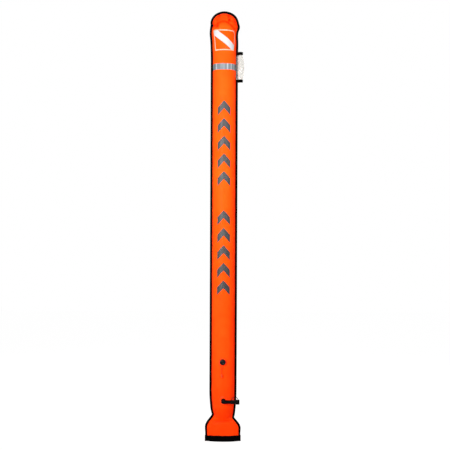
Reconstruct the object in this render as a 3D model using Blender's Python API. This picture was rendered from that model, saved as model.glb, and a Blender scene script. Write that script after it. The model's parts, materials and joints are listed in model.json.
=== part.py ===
# Inflated surface marker buoy: a welded tube of coated nylon with a taped edge, a duckbill
# mouth, a relief valve with a pull cord, an oral inflator, a line ring and a light sleeve.
# Metres, +Z up. The tube stands on its open mouth, its front faces -Y, and the origin is the
# middle of the mouth's lower rim. "Depth" below is the distance towards the front, so the
# world y of a point is minus its depth.

import math

import bmesh
import bpy
import numpy as np
from mathutils import Matrix

MM = 0.001

# Overall sizes
TUBE_LENGTH = 1800 * MM        # lower rim to the top of the edge tape
BODY_R = 46.4 * MM             # inside radius of the inflated barrel
CROWN_HALF = 49.3 * MM         # half width of the seam where the rounded top starts
CROWN_RISE = 44.8 * MM         # height of the seam's rounded top
CROWN_POWER = 0.91             # 1 is an ellipse, less has fuller shoulders
NECK_HALF = 38.2 * MM          # half width of the seam at the neck
MOUTH_HALF = 64.4 * MM         # half width of the seam at the mouth
MOUTH_DEPTH = 16.0 * MM        # how far each panel bows out at the mouth

# Heights of the lower end, from the rim
FLARE_Z = 57 * MM              # the seam flares out below the neck, down to here
NECK_Z = 108.5 * MM
NECK_SKEW = 6.5 * MM           # the slack neck sits this much higher on the left, lower right
FLARE_SKEW = 2.5 * MM
BARREL_Z = 215 * MM
ROUND_LOW_Z = 76 * MM          # the section turns from a lens into a circle between these
ROUND_HIGH_Z = 153 * MM

# Fabric, tape and fits
FABRIC = 0.8 * MM
SEAM_GAP = 0.15 * MM           # half the gap between the two panels in the seam
SEAM_WIDTH = 8.0 * MM
TAPE = 0.9 * MM
FIT = 0.3 * MM
TAPE_INSET = 1.2 * MM          # from the seam line to where the edge tape starts
TAPE_EDGE = 0.6 * MM           # bevel of the folded tape and the hem's two ends
RIM_LIFT = 1.0 * MM            # panels and edge tape stop this far above the rim
LENS_POWER = 1.5               # 1 is a round section, 2 a lens with sharp corners

# Mouth hem
HEM_HEIGHT = 25 * MM
HEM = 1.3 * MM
HEM_INNER_HALF = 58 * MM

# Duckbill flaps inside the mouth
FLAP = 0.5 * MM
FLAP_WELD_Z = 80 * MM
FLAP_BEND_Z = 90 * MM
FLAP_LIP_Z = 205 * MM
FLAP_LIP_GAP = 0.25 * MM

# Reflective bands, measured down from the top
BAND_TOP_DROP = 222.5 * MM
BAND_HEIGHT = 26 * MM
BAND = 0.4 * MM
BAND_END_ANGLE = 4.5

# Light sleeve on the right edge, measured down from the top
SLEEVE_TOP_DROP = 170 * MM
SLEEVE_HEIGHT = 125 * MM
SLEEVE_FILM = 0.5 * MM
SLEEVE_TAPE = 1.0 * MM
SLEEVE_TAPE_HEIGHT = 10.5 * MM
SLEEVE_REACH_MID = 27.0 * MM   # how far the film stands past the edge tape
SLEEVE_REACH_END = 20.5 * MM
SLEEVE_DEPTH_MID = 9.5 * MM
SLEEVE_DEPTH_END = 7.0 * MM
SLEEVE_LEG = 6.0 * MM          # how far the film laps over the edge tape
SLEEVE_NECK = 2.0 * MM         # from the edge tape to where the pocket opens

# Fittings: where they sit and the welded patches they stand on
VALVE_X = -1.5 * MM
VALVE_Z = 338 * MM
INFLATOR_X = 2 * MM
INFLATOR_Z = 177.3 * MM
PATCH_R = 18 * MM
PATCH = 0.9 * MM
BOSS_R = 12.4 * MM             # under the valve
INFLATOR_BOSS_R = 10.2 * MM
BOSS_STEP = 0.8 * MM           # how far the flat boss stands over the patch's crown
SLEEVE_R = 7.8 * MM            # threaded sleeve of valve and elbow, through the fabric
SLEEVE_DROP = 5.4 * MM         # how far that sleeve reaches inside the crown of the barrel
GASKET = 1.2 * MM
NUT_R = 12.0 * MM
NUT = 2.4 * MM

# Relief valve, heights from the top of its gasket
VALVE_BORE = 6.3 * MM
VALVE_BASE_R = 12.2 * MM
VALVE_BASE = 1.8 * MM
VALVE_COLLAR = 1.8 * MM
VALVE_SEAT = 0.6 * MM
VALVE_CAP_R = 12.5 * MM
POPPET_R = 8.4 * MM
POPPET = 1.1 * MM
POPPET_STEM_R = 1.2 * MM
SEAL = 0.8 * MM
VALVE_SPRING_HEIGHT = 4.7 * MM
VALVE_SPRING_R = 3.6 * MM
VALVE_WIRE = 0.7 * MM
VALVE_SPRING_TURNS = 3
VENTS = 8

# Pull cord of the relief valve and its toggle
CORD_R = 0.8 * MM
CORD_OFFSET = 3.6 * MM
CORD_HANG = 38 * MM
TOGGLE_R = 3.4 * MM
TOGGLE_LENGTH = 13 * MM
TOGGLE_BORE = 9 * MM

# Oral inflator: radii, and places along its axis from the tube's middle plane
ELBOW_RISE = 10.85 * MM        # from the gasket to the hose's axis
HOSE_DROP = 3 * MM             # the hose's axis below the elbow's
HOSE_R = 7.5 * MM
HOSE_BORE = 5.6 * MM
HOSE_START = 11.4 * MM
HOSE_LENGTH = 26.6 * MM
ELBOW_R = 9.1 * MM
ELBOW_BORE = 4.0 * MM
ELBOW_FLANGE = 2.0 * MM
BODY_START = 33.4 * MM
INFLATOR_BODY_R = 8.4 * MM
SOCKET_DEPTH = 4.9 * MM
CHAMBER_R = 6.0 * MM
CHAMBER_LENGTH = 5.7 * MM
SEAT_R = 2.8 * MM
SEAT_LENGTH = 1.6 * MM
GUIDE_LENGTH = 9.8 * MM
STEM_R = 1.3 * MM
STEM_DISC_R = 5.2 * MM
STEM_DISC = 1.5 * MM
TIP_R = 10.2 * MM
TIP_BORE = 4.6 * MM
TIP_LAP = 0.9 * MM             # how far the tip's skirt covers the body's end
TIP_TRAVEL = 4.0 * MM
TIP_END = 68.5 * MM
TIP_SPRING_R = 3.4 * MM
TIP_WIRE = 0.8 * MM
TIP_SPRING_TURNS = 5

# Line ring and its webbing tab on the right edge
RING_R = 13.75 * MM            # to the middle of the wire
RING_WIRE_R = 1.25 * MM
RING_PIVOT_Z = 190.2 * MM
RING_DEPTH = 36 * MM
TAB_WIDTH = 5.6 * MM
TAB_FOOT = 18 * MM
TAB = 1.2 * MM
TAB_LEAN = 1.4 * MM            # the tab leans this far inwards on its way forward
TAB_EYE_R = 2.0 * MM
TAB_OFFSET = 5.2 * MM          # middle of the foot from the seam line

# Mesh fineness
ACROSS = 16
ROUND = 24
SMALL_ROUND = 18

# Worked out from the sizes above
TAPE_HALF = SEAM_GAP + FABRIC + FIT + TAPE
TAPE_OUT = SEAM_WIDTH + FIT + TAPE
CROWN_Z = TUBE_LENGTH - CROWN_RISE - TAPE_OUT
SECTION_ANGLES = np.radians(np.linspace(180, 0, ACROSS + 1))
FACET_SAG = BODY_R * (1 - math.cos(math.pi / ACROSS / 2))
BARREL_OUT = SEAM_GAP + BODY_R + FABRIC
BOSS_TOP = BARREL_OUT + FIT + PATCH + BOSS_STEP
GASKET_TOP = BOSS_TOP + FIT + GASKET
FITTING_BASE = GASKET_TOP + FIT
SLEEVE_END = SEAM_GAP + BODY_R - SLEEVE_DROP
HOLE_R = SLEEVE_R + 2.5 * FIT
HOSE_DEPTH = FITTING_BASE + ELBOW_RISE
HOSE_Z = INFLATOR_Z - HOSE_DROP


# Materials

def material(name, colour, roughness, metallic=0.0):
    mat = bpy.data.materials.new(name)
    mat.use_nodes = True
    shader = mat.node_tree.nodes["Principled BSDF"]
    shader.inputs["Base Color"].default_value = (*colour, 1.0)
    shader.inputs["Roughness"].default_value = roughness
    shader.inputs["Metallic"].default_value = metallic
    mat.diffuse_color = (*colour, 1.0)
    return mat


def make_materials():
    return {
        "fabric": material("fluorescent_coated_nylon", (1.0, 0.09, 0.006), 0.45),
        "film": material("orange_weld_film", (1.0, 0.12, 0.012), 0.35),
        "tape": material("black_woven_tape", (0.012, 0.013, 0.014), 0.85),
        "silver": material("silver_reflective_tape", (0.55, 0.56, 0.57), 0.35, 0.3),
        "clear": material("clear_vinyl_film", (0.85, 0.87, 0.88), 0.12),
        "plastic": material("black_moulded_plastic", (0.016, 0.016, 0.017), 0.4),
        "rubber": material("black_rubber", (0.02, 0.02, 0.021), 0.75),
        "seal": material("grey_silicone", (0.35, 0.36, 0.37), 0.6),
        "steel": material("stainless_steel", (0.62, 0.6, 0.57), 0.25, 1.0),
        "cord": material("orange_cord", (0.62, 0.06, 0.01), 0.7),
        "toggle": material("orange_toggle", (1.0, 0.14, 0.02), 0.4),
    }


# Mesh and object helpers

def finish(name, mesh_or_bm, mat, place=None, smooth=35):
    """Make a named object from a mesh or bmesh, with its material and round faces smooth."""
    mesh = mesh_or_bm
    if isinstance(mesh_or_bm, bmesh.types.BMesh):
        mesh = bpy.data.meshes.new(name)
        mesh_or_bm.to_mesh(mesh)
        mesh_or_bm.free()
    mesh.materials.append(mat)
    mesh.shade_smooth()
    mesh.set_sharp_from_angle(angle=math.radians(smooth))
    obj = bpy.data.objects.new(name, mesh)
    bpy.context.collection.objects.link(obj)
    if place is not None:
        obj.matrix_world = place
    return obj


def grid_bmesh(points, wrap_rows=False, wrap_cols=False):
    """Quads over a (rows, columns, 3) grid of points, with coincident points merged."""
    bm = bmesh.new()
    rows, cols = points.shape[:2]
    verts = [[bm.verts.new(p) for p in row] for row in points]
    for i in range(rows if wrap_rows else rows - 1):
        for j in range(cols if wrap_cols else cols - 1):
            i1 = (i + 1) % rows
            j1 = (j + 1) % cols
            bm.faces.new((verts[i][j], verts[i][j1], verts[i1][j1], verts[i1][j]))
    return bm, verts


def sheet(name, points, thickness, mat, towards):
    """A sheet over a grid of points, thickened outwards where it reaches furthest towards."""
    bm, _ = grid_bmesh(points)
    bmesh.ops.remove_doubles(bm, verts=bm.verts, dist=1e-6)
    bmesh.ops.recalc_face_normals(bm, faces=bm.faces)
    bm.normal_update()
    furthest = max(bm.faces, key=lambda f: f.calc_center_median().dot(towards))
    if furthest.normal.dot(towards) < 0:
        bmesh.ops.reverse_faces(bm, faces=bm.faces)
    obj = finish(name, bm, mat)
    solid = obj.modifiers.new("thickness", "SOLIDIFY")
    solid.thickness = thickness
    solid.offset = 1
    solid.use_even_offset = True
    return obj


def loft(name, sections, mat, closed_path=False, place=None):
    """A solid through closed sections: an array (sections, points, 3)."""
    bm, verts = grid_bmesh(np.asarray(sections), wrap_rows=closed_path, wrap_cols=True)
    if not closed_path:
        bm.faces.new(verts[0])
        bm.faces.new(reversed(verts[-1]))
    bmesh.ops.recalc_face_normals(bm, faces=bm.faces)
    return finish(name, bm, mat, place)


def turned(name, outline, mat, place, segments=ROUND):
    """Spin an outline of (radius, height) points about the local Z axis. An outline that
    starts and ends on the axis is a solid core; any other is closed into a ring."""
    bm = bmesh.new()
    verts = [bm.verts.new((r, 0, h)) for r, h in outline]
    edges = [bm.edges.new(pair) for pair in zip(verts, verts[1:])]
    if outline[0][0] > 0:
        edges.append(bm.edges.new((verts[-1], verts[0])))
    bmesh.ops.spin(bm, geom=verts + edges, cent=(0, 0, 0), axis=(0, 0, 1),
                   angle=2 * math.pi, steps=segments, use_duplicate=False)
    bmesh.ops.remove_doubles(bm, verts=bm.verts, dist=1e-6)
    bmesh.ops.recalc_face_normals(bm, faces=bm.faces)
    return finish(name, bm, mat, place)


def arc(centre_r, centre_h, radius, start, end, steps):
    """Outline points of a round stretch, angles in degrees from the radial direction."""
    angles = np.radians(np.linspace(start, end, steps + 1))
    return [(centre_r + radius * math.cos(a), centre_h + radius * math.sin(a)) for a in angles]


def combine(obj, other, operation):
    """Join or cut with another object, which is then only a guide."""
    other.hide_render = True
    other.display_type = "WIRE"
    step = obj.modifiers.new(other.name, "BOOLEAN")
    step.operation = operation
    step.solver = "EXACT"
    step.object = other


def rod(name, radius, low, high, place, segments=ROUND):
    """A plain round guide along the local Z axis."""
    outline = [(0, low), (radius, low), (radius, high), (0, high)]
    return turned(name, outline, CUTTER, place, segments)


def arms(name, count, inner, outer, width, low, high, place):
    """Flat radial arms, as one guide to be joined to a hub."""
    bm = bmesh.new()
    for k in range(count):
        turn = Matrix.Rotation(2 * math.pi * k / count + math.pi / 2, 4, "Z")
        size = Matrix.Diagonal((outer - inner, width, high - low, 1))
        shift = Matrix.Translation(((inner + outer) / 2, 0, (low + high) / 2))
        bmesh.ops.create_cube(bm, size=1, matrix=turn @ shift @ size)
    return finish(name, bm, CUTTER, place)


def coil(name, radius, wire, turns, low, high, mat, place):
    """One unbroken helix of wire between two heights, and its least gap to itself."""
    per_turn = 9
    count = int(turns * per_turn) + 1
    t = np.linspace(0, 1, count)
    a = 2 * math.pi * turns * t
    h = low + wire / 2 + (high - low - wire) * t
    points = np.stack([radius * np.cos(a), radius * np.sin(a), h, np.ones(count)], axis=1)
    curve = bpy.data.curves.new(name, "CURVE")
    curve.dimensions = "3D"
    curve.bevel_depth = wire / 2
    curve.bevel_resolution = 1
    curve.use_fill_caps = True
    spline = curve.splines.new("POLY")
    spline.points.add(count - 1)
    spline.points.foreach_set("co", points.ravel())
    curve.materials.append(mat)
    obj = bpy.data.objects.new(name, curve)
    bpy.context.collection.objects.link(obj)
    obj.matrix_world = place
    gap = np.linalg.norm(points[:-per_turn, :3] - points[per_turn:, :3], axis=1).min() - wire
    print(f"{name}: least gap between turns {gap / MM:.2f} mm")
    return obj


def offset_line(x, y, distance):
    """Move an open line by a constant distance to the right of its direction."""
    step = np.stack([np.diff(x), np.diff(y)], axis=1)
    step /= np.linalg.norm(step, axis=1, keepdims=True)
    side = np.stack([step[:, 1], -step[:, 0]], axis=1)
    before = np.concatenate([side[:1], side])
    after = np.concatenate([side, side[-1:]])
    mitre = before + after
    mitre /= np.linalg.norm(mitre, axis=1, keepdims=True)
    mitre *= distance / (mitre * after).sum(axis=1, keepdims=True)
    return x + mitre[:, 0], y + mitre[:, 1]


# The shape of the inflated tube

def smooth(t):
    t = np.clip(t, 0, 1)
    return t * t * (3 - 2 * t)


def ease_out(t):
    return 1 - (1 - np.clip(t, 0, 1)) ** 2


def hump(z, centre, width):
    return np.exp(-(((z - centre) / width) ** 2))


def pucker(z, side):
    """The gathered edge tape lets the shoulders out and pulls them in, unlike on each side,
    and pinches the neck."""
    z = np.asarray(z, dtype=float)
    below = TUBE_LENGTH - z
    left = 2.3 * MM * hump(below, 92 * MM, 24 * MM) - 1.6 * MM * hump(below, 56 * MM, 9 * MM)
    left = left - 2.6 * MM * hump(z, 108 * MM, 17 * MM)
    right = 4.9 * MM * hump(below, 65 * MM, 13 * MM) - 2.6 * MM * hump(below, 100 * MM, 26 * MM)
    right = right - 1.8 * MM * hump(z, 97 * MM, 9 * MM)
    return np.where(side < 0, left, right)


def seam_half(z, side):
    """Half width from the axis to the weld seam below the crown."""
    z = np.asarray(z, dtype=float)
    neck = NECK_Z - np.sign(side) * NECK_SKEW
    low = FLARE_Z - np.sign(side) * FLARE_SKEW
    flare = MOUTH_HALF + (NECK_HALF - MOUTH_HALF) * smooth((z - low) / (neck - low))
    barrel = NECK_HALF + (BODY_R - NECK_HALF) * ease_out((z - neck) / (BARREL_Z - neck))
    start = CROWN_Z - 150 * MM
    swell = (CROWN_HALF - BODY_R) * smooth((z - start) / (130 * MM))
    return np.where(z < neck, flare, barrel) + swell + pucker(z, side)


def bow(z):
    """How far each panel bows out at its middle, below the crown."""
    rise = smooth((z - ROUND_LOW_Z) / (ROUND_HIGH_Z - ROUND_LOW_Z))
    taper = 1 - 0.06 * smooth((z - CROWN_Z + 90 * MM) / (90 * MM))
    return (MOUTH_DEPTH + (BODY_R - MOUTH_DEPTH) * rise) * taper


def lens(z):
    """Exponent of the section: round in the barrel, a lens at the mouth."""
    rise = smooth((z - ROUND_LOW_Z) / (ROUND_HIGH_Z - ROUND_LOW_Z))
    return LENS_POWER + (1 - LENS_POWER) * rise


def panel_depth(x, z):
    """Depth of a panel's inner face at x, below the crown."""
    share = np.clip(1 - (x / seam_half(z, 1)) ** 2, 0, 1)
    return SEAM_GAP + bow(z) * share ** (lens(z) / 2)


def barrel_front(x):
    """Depth of the barrel's outer face at x."""
    return SEAM_GAP + np.sqrt((BODY_R + FABRIC) ** 2 - x**2)


def tube_rows():
    """Heights, half widths left and right, and bow for every row of the panels."""
    mouth = [RIM_LIFT, HEM_HEIGHT, 48 * MM]
    neck_top = NECK_Z + NECK_SKEW
    flare = np.linspace(FLARE_Z - FLARE_SKEW, neck_top, 7)
    neck = neck_top + (BARREL_Z - neck_top) * np.array([0.08, 0.2, 0.36, 0.6, 1.0])
    barrel = np.linspace(BARREL_Z, CROWN_Z - 150 * MM, 5)[1:]
    shoulder = CROWN_Z - np.array([105, 70, 48, 34, 22, 11, 0]) * MM
    z = np.concatenate([mouth, flare, neck, barrel, shoulder])
    turn = np.radians([13, 26, 39, 52, 64, 75, 84, 90])
    top_z = CROWN_Z + CROWN_RISE * np.sin(turn) ** CROWN_POWER
    heights = np.concatenate([z, top_z])
    halves = []
    for side in (-1, 1):
        top = (CROWN_HALF + pucker(top_z, side)) * np.cos(turn) ** CROWN_POWER
        top[-1] = 0
        halves.append(np.concatenate([seam_half(z, side), top]))
    bows = np.concatenate([bow(z), bow(CROWN_Z) * np.cos(turn) ** 0.85])
    bows[-1] = 0
    powers = np.concatenate([lens(z), np.ones(len(turn))])
    return heights, halves[0], halves[1], bows, powers


def seam_frames(heights, half, side):
    """Seam points in the XZ plane, with the outward normal of the seam line."""
    x = side * half
    dx = np.gradient(x)
    dz = np.gradient(heights)
    dx[-1] = -side
    dz[-1] = 0
    normal = np.stack([dz, -dx], axis=1) * side
    normal /= np.linalg.norm(normal, axis=1, keepdims=True)
    return x, normal


def make_panel(name, face, mat):
    """One panel: its seam margins and the bowed sheet between them. face -1 is the front."""
    heights, left, right, bows, powers = tube_rows()
    wave = np.cos(SECTION_ANGLES)
    x = np.where(wave < 0, left[:, None], right[:, None]) * wave
    rise = np.sin(SECTION_ANGLES)
    rise[[0, -1]] = 0
    depth = SEAM_GAP + bows[:, None] * rise ** powers[:, None]
    points = np.zeros((len(heights), ACROSS + 3, 3))
    points[:, 1:-1, 0] = x
    points[:, 1:-1, 1] = face * depth
    points[:, 1:-1, 2] = heights[:, None]
    for column, half, side in ((0, left, -1), (-1, right, 1)):
        seam_x, normal = seam_frames(heights, half, side)
        points[:, column, 0] = seam_x + SEAM_WIDTH * normal[:, 0]
        points[:, column, 1] = face * SEAM_GAP
        points[:, column, 2] = heights + SEAM_WIDTH * normal[:, 1]
    points[-1, :, 0] = 0
    points[0, :, 2] = RIM_LIFT
    return sheet(name, points, FABRIC, mat, (0, face, 0))


def make_edge_tape(mat):
    """The folded tape that runs up one side, over the crown and down the other."""
    heights, left, right, _, _ = tube_rows()
    left_x, left_n = seam_frames(heights, left, -1)
    right_x, right_n = seam_frames(heights, right, 1)
    path_x = np.concatenate([left_x, right_x[-2::-1]])
    path_z = np.concatenate([heights, heights[-2::-1]])
    normal = np.concatenate([left_n, right_n[-2::-1]])
    inner = TAPE_HALF - TAPE
    bevel_out = TAPE_OUT - TAPE_EDGE
    bevel_half = TAPE_HALF - TAPE_EDGE
    outline = [(TAPE_INSET, -TAPE_HALF), (bevel_out, -TAPE_HALF), (TAPE_OUT, -bevel_half),
               (TAPE_OUT, bevel_half), (bevel_out, TAPE_HALF), (TAPE_INSET, TAPE_HALF),
               (TAPE_INSET, inner), (TAPE_OUT - TAPE, inner), (TAPE_OUT - TAPE, -inner),
               (TAPE_INSET, -inner)]
    sections = np.zeros((len(path_x), len(outline), 3))
    for k, (out, depth) in enumerate(outline):
        sections[:, k, 0] = path_x + out * normal[:, 0]
        sections[:, k, 1] = -depth
        sections[:, k, 2] = path_z + out * normal[:, 1]
    sections[[0, -1], :, 2] = RIM_LIFT
    return loft("edge_binding", sections, mat)


# Hem and duckbill

def hem_outline(grow):
    """Half of the hem's plan, x against depth, following the edge tape and then the panel."""
    clear = TAPE_HALF + FIT + grow
    end = MOUTH_HALF + TAPE_OUT + FIT + grow
    angles = SECTION_ANGLES[ACROSS // 2:][::-1]
    x = MOUTH_HALF * np.cos(angles)
    x, depth = offset_line(x, panel_depth(x, HEM_HEIGHT), FABRIC + FIT + grow)
    x = np.concatenate([[end, end - TAPE_EDGE], x[2:-1], [0]])
    return x, np.concatenate([[clear - TAPE_EDGE, clear], np.maximum(depth[2:], clear)])


def make_hem_outer(mat):
    """The webbing loop round the outside of the mouth."""
    rings = []
    for grow, z in ((0, 0), (HEM, 0), (HEM, HEM_HEIGHT), (0, HEM_HEIGHT)):
        x, depth = hem_outline(grow)
        plan_x = np.concatenate([x, -x[-2::-1], -x, x[-2::-1]])
        plan_y = np.concatenate([-depth, -depth[-2::-1], depth, depth[-2::-1]])
        ring = np.stack([plan_x, plan_y, np.full(len(plan_x), z)], axis=1)
        keep = np.linalg.norm(ring - np.roll(ring, 1, axis=0), axis=1) > 1e-6
        rings.append(ring[keep])
    return loft("mouth_hem_outer", rings, mat, closed_path=True)


def make_hem_inner(name, face, mat):
    """The webbing strip sewn inside one panel at the mouth."""
    x = np.linspace(-HEM_INNER_HALF, HEM_INNER_HALF, 17)
    outer = panel_depth(x, HEM_HEIGHT) - FIT
    inner = outer - HEM
    corners = [(outer, 0), (outer, HEM_HEIGHT), (inner, HEM_HEIGHT), (inner, 0)]
    sections = np.zeros((len(x), 4, 3))
    for k, (depth, z) in enumerate(corners):
        sections[:, k, 0] = x
        sections[:, k, 1] = face * depth
        sections[:, k, 2] = z
    return loft(name, sections, mat)


def make_flap(name, face, mat):
    """One flap of the duckbill, welded along the panel and closing to a flat lip above."""
    heights = tube_rows()[0]
    followed = heights[(heights > FLAP_WELD_Z) & (heights < FLAP_LIP_Z - 20 * MM)]
    z = np.append(followed, FLAP_LIP_Z)[:, None]
    angles = SECTION_ANGLES[1:-1]
    follow = SEAM_GAP + (bow(z) - FIT) * np.sin(angles) ** lens(z)
    lip = FLAP_LIP_GAP + FLAP
    hold = 1 - smooth((z - FLAP_BEND_Z) / (FLAP_LIP_Z - FLAP_BEND_Z))
    points = np.zeros((*follow.shape, 3))
    points[..., 0] = (seam_half(z, np.cos(angles)) - FIT) * np.cos(angles)
    points[..., 1] = face * (lip + hold * (follow - lip))
    points[..., 2] = z
    return sheet(name, points, FLAP, mat, (0, -face, 0))


# Bands and the light sleeve

def make_band(name, face, mat):
    """A reflective strip across one panel, from edge tape to edge tape."""
    low = TUBE_LENGTH - BAND_TOP_DROP - BAND_HEIGHT
    angles = np.radians(np.linspace(180 - BAND_END_ANGLE, BAND_END_ANGLE, ROUND + 1))
    inner = BODY_R + FABRIC + FIT
    corners = [(inner, low), (inner, low + BAND_HEIGHT), (inner + BAND, low + BAND_HEIGHT),
               (inner + BAND, low)]
    sections = np.zeros((len(angles), 4, 3))
    for k, (radius, z) in enumerate(corners):
        sections[:, k, 0] = radius * np.cos(angles)
        sections[:, k, 1] = face * (SEAM_GAP + radius * np.sin(angles))
        sections[:, k, 2] = z
    return loft(name, sections, mat)


def sleeve_plan(reach, depth, offset):
    """Plan of the sleeve: a leg on the front of the edge tape, a round pocket, a back leg."""
    edge = BODY_R + TAPE_OUT
    leg_depth = TAPE_HALF + FIT
    share = (1 - np.cos(np.linspace(0, math.pi, 11))) / 2
    pocket = leg_depth * (1 - share) + depth * np.sin(math.pi * share**0.9) ** 0.8
    pocket[-1] = 0
    pocket_x = edge + SLEEVE_NECK + (reach - SLEEVE_NECK) * share
    x = np.concatenate([[edge - SLEEVE_LEG, edge - MM], pocket_x])
    y = -np.concatenate([[leg_depth, leg_depth], pocket])
    return offset_line(np.concatenate([x, x[-2::-1]]), np.concatenate([y, -y[-2::-1]]), offset)


def sleeve_sheet(name, levels, offset, thickness, mat):
    """Part of the sleeve over (height share, bulge) levels, standing off by offset."""
    points = []
    for z, bulge in levels:
        reach = SLEEVE_REACH_END + (SLEEVE_REACH_MID - SLEEVE_REACH_END) * bulge
        depth = SLEEVE_DEPTH_END + (SLEEVE_DEPTH_MID - SLEEVE_DEPTH_END) * bulge
        x, y = sleeve_plan(reach, depth, offset)
        points.append(np.stack([x, y, np.full(len(x), z)], axis=1))
    return sheet(name, np.array(points), thickness, mat, (1, 0, 0))


def make_sleeve(mats):
    """The clear pocket for a light stick and the tape round its two ends."""
    top = TUBE_LENGTH - SLEEVE_TOP_DROP
    low = top - SLEEVE_HEIGHT
    band = SLEEVE_TAPE_HEIGHT
    inset = 0.5 * MM
    flat = band + 1.5 * MM
    share = np.linspace(0, 1, 7)
    middle = [(low + flat + (SLEEVE_HEIGHT - 2 * flat) * s, math.sin(math.pi * s) ** 0.8)
              for s in share]
    film = [(low + inset, 0)] + middle + [(top - inset, 0)]
    sleeve_sheet("light_sleeve", film, 0, SLEEVE_FILM, mats["clear"])
    stand_off = SLEEVE_FILM + FIT
    ends = {"sleeve_tape_bottom": low, "sleeve_tape_top": top - band}
    for name, z in ends.items():
        sleeve_sheet(name, [(z, 0), (z + band, 0)], stand_off, SLEEVE_TAPE, mats["tape"])


# Fittings on the front panel

def facing_front(x, z):
    """Places a turned piece so that its height is its depth towards the front."""
    return Matrix(((1, 0, 0, x), (0, 0, -1, 0), (0, 1, 0, z), (0, 0, 0, 1)))


def make_patch(name, x, z, boss, mat):
    """A welded disc that follows the barrel, with a flat boss and a bore in the middle."""
    radii = np.array([SLEEVE_R + 1.5 * FIT, boss, boss + FIT, 15.4 * MM, PATCH_R])
    around = np.radians(np.linspace(0, 360, ROUND, endpoint=False))
    r = radii[:, None]
    px = x + r * np.cos(around)
    pz = z + r * np.sin(around)
    low = barrel_front(px) + FIT
    high = low + PATCH
    high[:2] = BOSS_TOP
    lower = np.stack([px, -low, pz], axis=2)
    upper = np.stack([px, -high, pz], axis=2)[::-1]
    return loft(name, np.concatenate([lower, upper]), mat, closed_path=True)


def make_gasket(name, place, boss, mat):
    inner = SLEEVE_R + FIT
    outer = boss - FIT
    low = BOSS_TOP + FIT
    outline = [(inner, low), (outer, low), (outer, low + GASKET), (inner, low + GASKET)]
    return turned(name, outline, mat, place)


def make_nut(name, x, place, mat):
    """The hexagon nut inside the tube that clamps the fabric."""
    top = SEAM_GAP + math.sqrt(BODY_R**2 - (NUT_R + abs(x)) ** 2) - FACET_SAG - FIT
    outline = [(0, top - NUT), (NUT_R, top - NUT), (NUT_R, top), (0, top)]
    nut = turned(name, outline, mat, place, 6)
    bore = rod(name + "_bore", SLEEVE_R + FIT, top - NUT - MM, top + MM, place)
    combine(nut, bore, "DIFFERENCE")
    return nut


def make_relief_valve(mats):
    place = facing_front(VALVE_X, VALVE_Z)
    base = FITTING_BASE
    deck = base + VALVE_BASE
    seat = deck + VALVE_SEAT
    seal = seat + FIT
    disc = seal + SEAL + FIT
    make_patch("valve_patch", VALVE_X, VALVE_Z, BOSS_R, mats["film"])
    make_gasket("valve_gasket", place, BOSS_R, mats["rubber"])
    make_nut("valve_nut", VALVE_X, place, mats["plastic"])

    collar_in = POPPET_R + 0.8 * MM
    collar_out = VALVE_CAP_R - 1.6 * MM
    outline = [(VALVE_BORE, SLEEVE_END), (SLEEVE_R, SLEEVE_END), (SLEEVE_R, base),
               (VALVE_BASE_R, base), (VALVE_BASE_R, deck), (collar_out, deck),
               (collar_out, deck + VALVE_COLLAR), (collar_in, deck + VALVE_COLLAR),
               (collar_in, deck), (VALVE_BORE + 1.1 * MM, deck), (VALVE_BORE + 0.8 * MM, seat),
               (VALVE_BORE + 0.3 * MM, seat), (VALVE_BORE, deck)]
    valve_base = turned("valve_base", outline, mats["plastic"], place)
    hub_low = base - 3 * MM
    hub = turned("valve_hub", [(POPPET_STEM_R + FIT, hub_low), (2.5 * MM, hub_low),
                               (2.5 * MM, base), (POPPET_STEM_R + FIT, base)], CUTTER, place)
    spokes = arms("valve_spokes", 3, 2.0 * MM, VALVE_BORE + 0.6 * MM, 1.2 * MM,
                  hub_low + 0.5 * MM, base - 0.5 * MM, place)
    combine(valve_base, hub, "UNION")
    combine(valve_base, spokes, "UNION")

    turned("valve_seal", [(POPPET_STEM_R + FIT, seal), (POPPET_R + 0.2 * MM, seal),
                          (POPPET_R + 0.2 * MM, seal + SEAL), (POPPET_STEM_R + FIT, seal + SEAL)],
           mats["seal"], place)
    spring_low = disc + POPPET + FIT
    outline = [(0, hub_low - 3 * MM), (POPPET_STEM_R, hub_low - 3 * MM), (POPPET_STEM_R, disc),
               (POPPET_R, disc), (POPPET_R, disc + POPPET), (2.2 * MM, disc + POPPET),
               (1.9 * MM, disc + POPPET + 1.3 * MM), (0, disc + POPPET + 1.3 * MM)]
    turned("valve_poppet", outline, mats["plastic"], place)
    coil("valve_spring", VALVE_SPRING_R, VALVE_WIRE, VALVE_SPRING_TURNS, spring_low,
         spring_low + VALVE_SPRING_HEIGHT, mats["steel"], place)

    roof = spring_low + VALVE_SPRING_HEIGHT + FIT
    cord_depth = disc + POPPET + FIT + CORD_R
    make_valve_cap(mats, place, deck + FIT, roof, cord_depth)
    make_pull_cord(mats, cord_depth)


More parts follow.
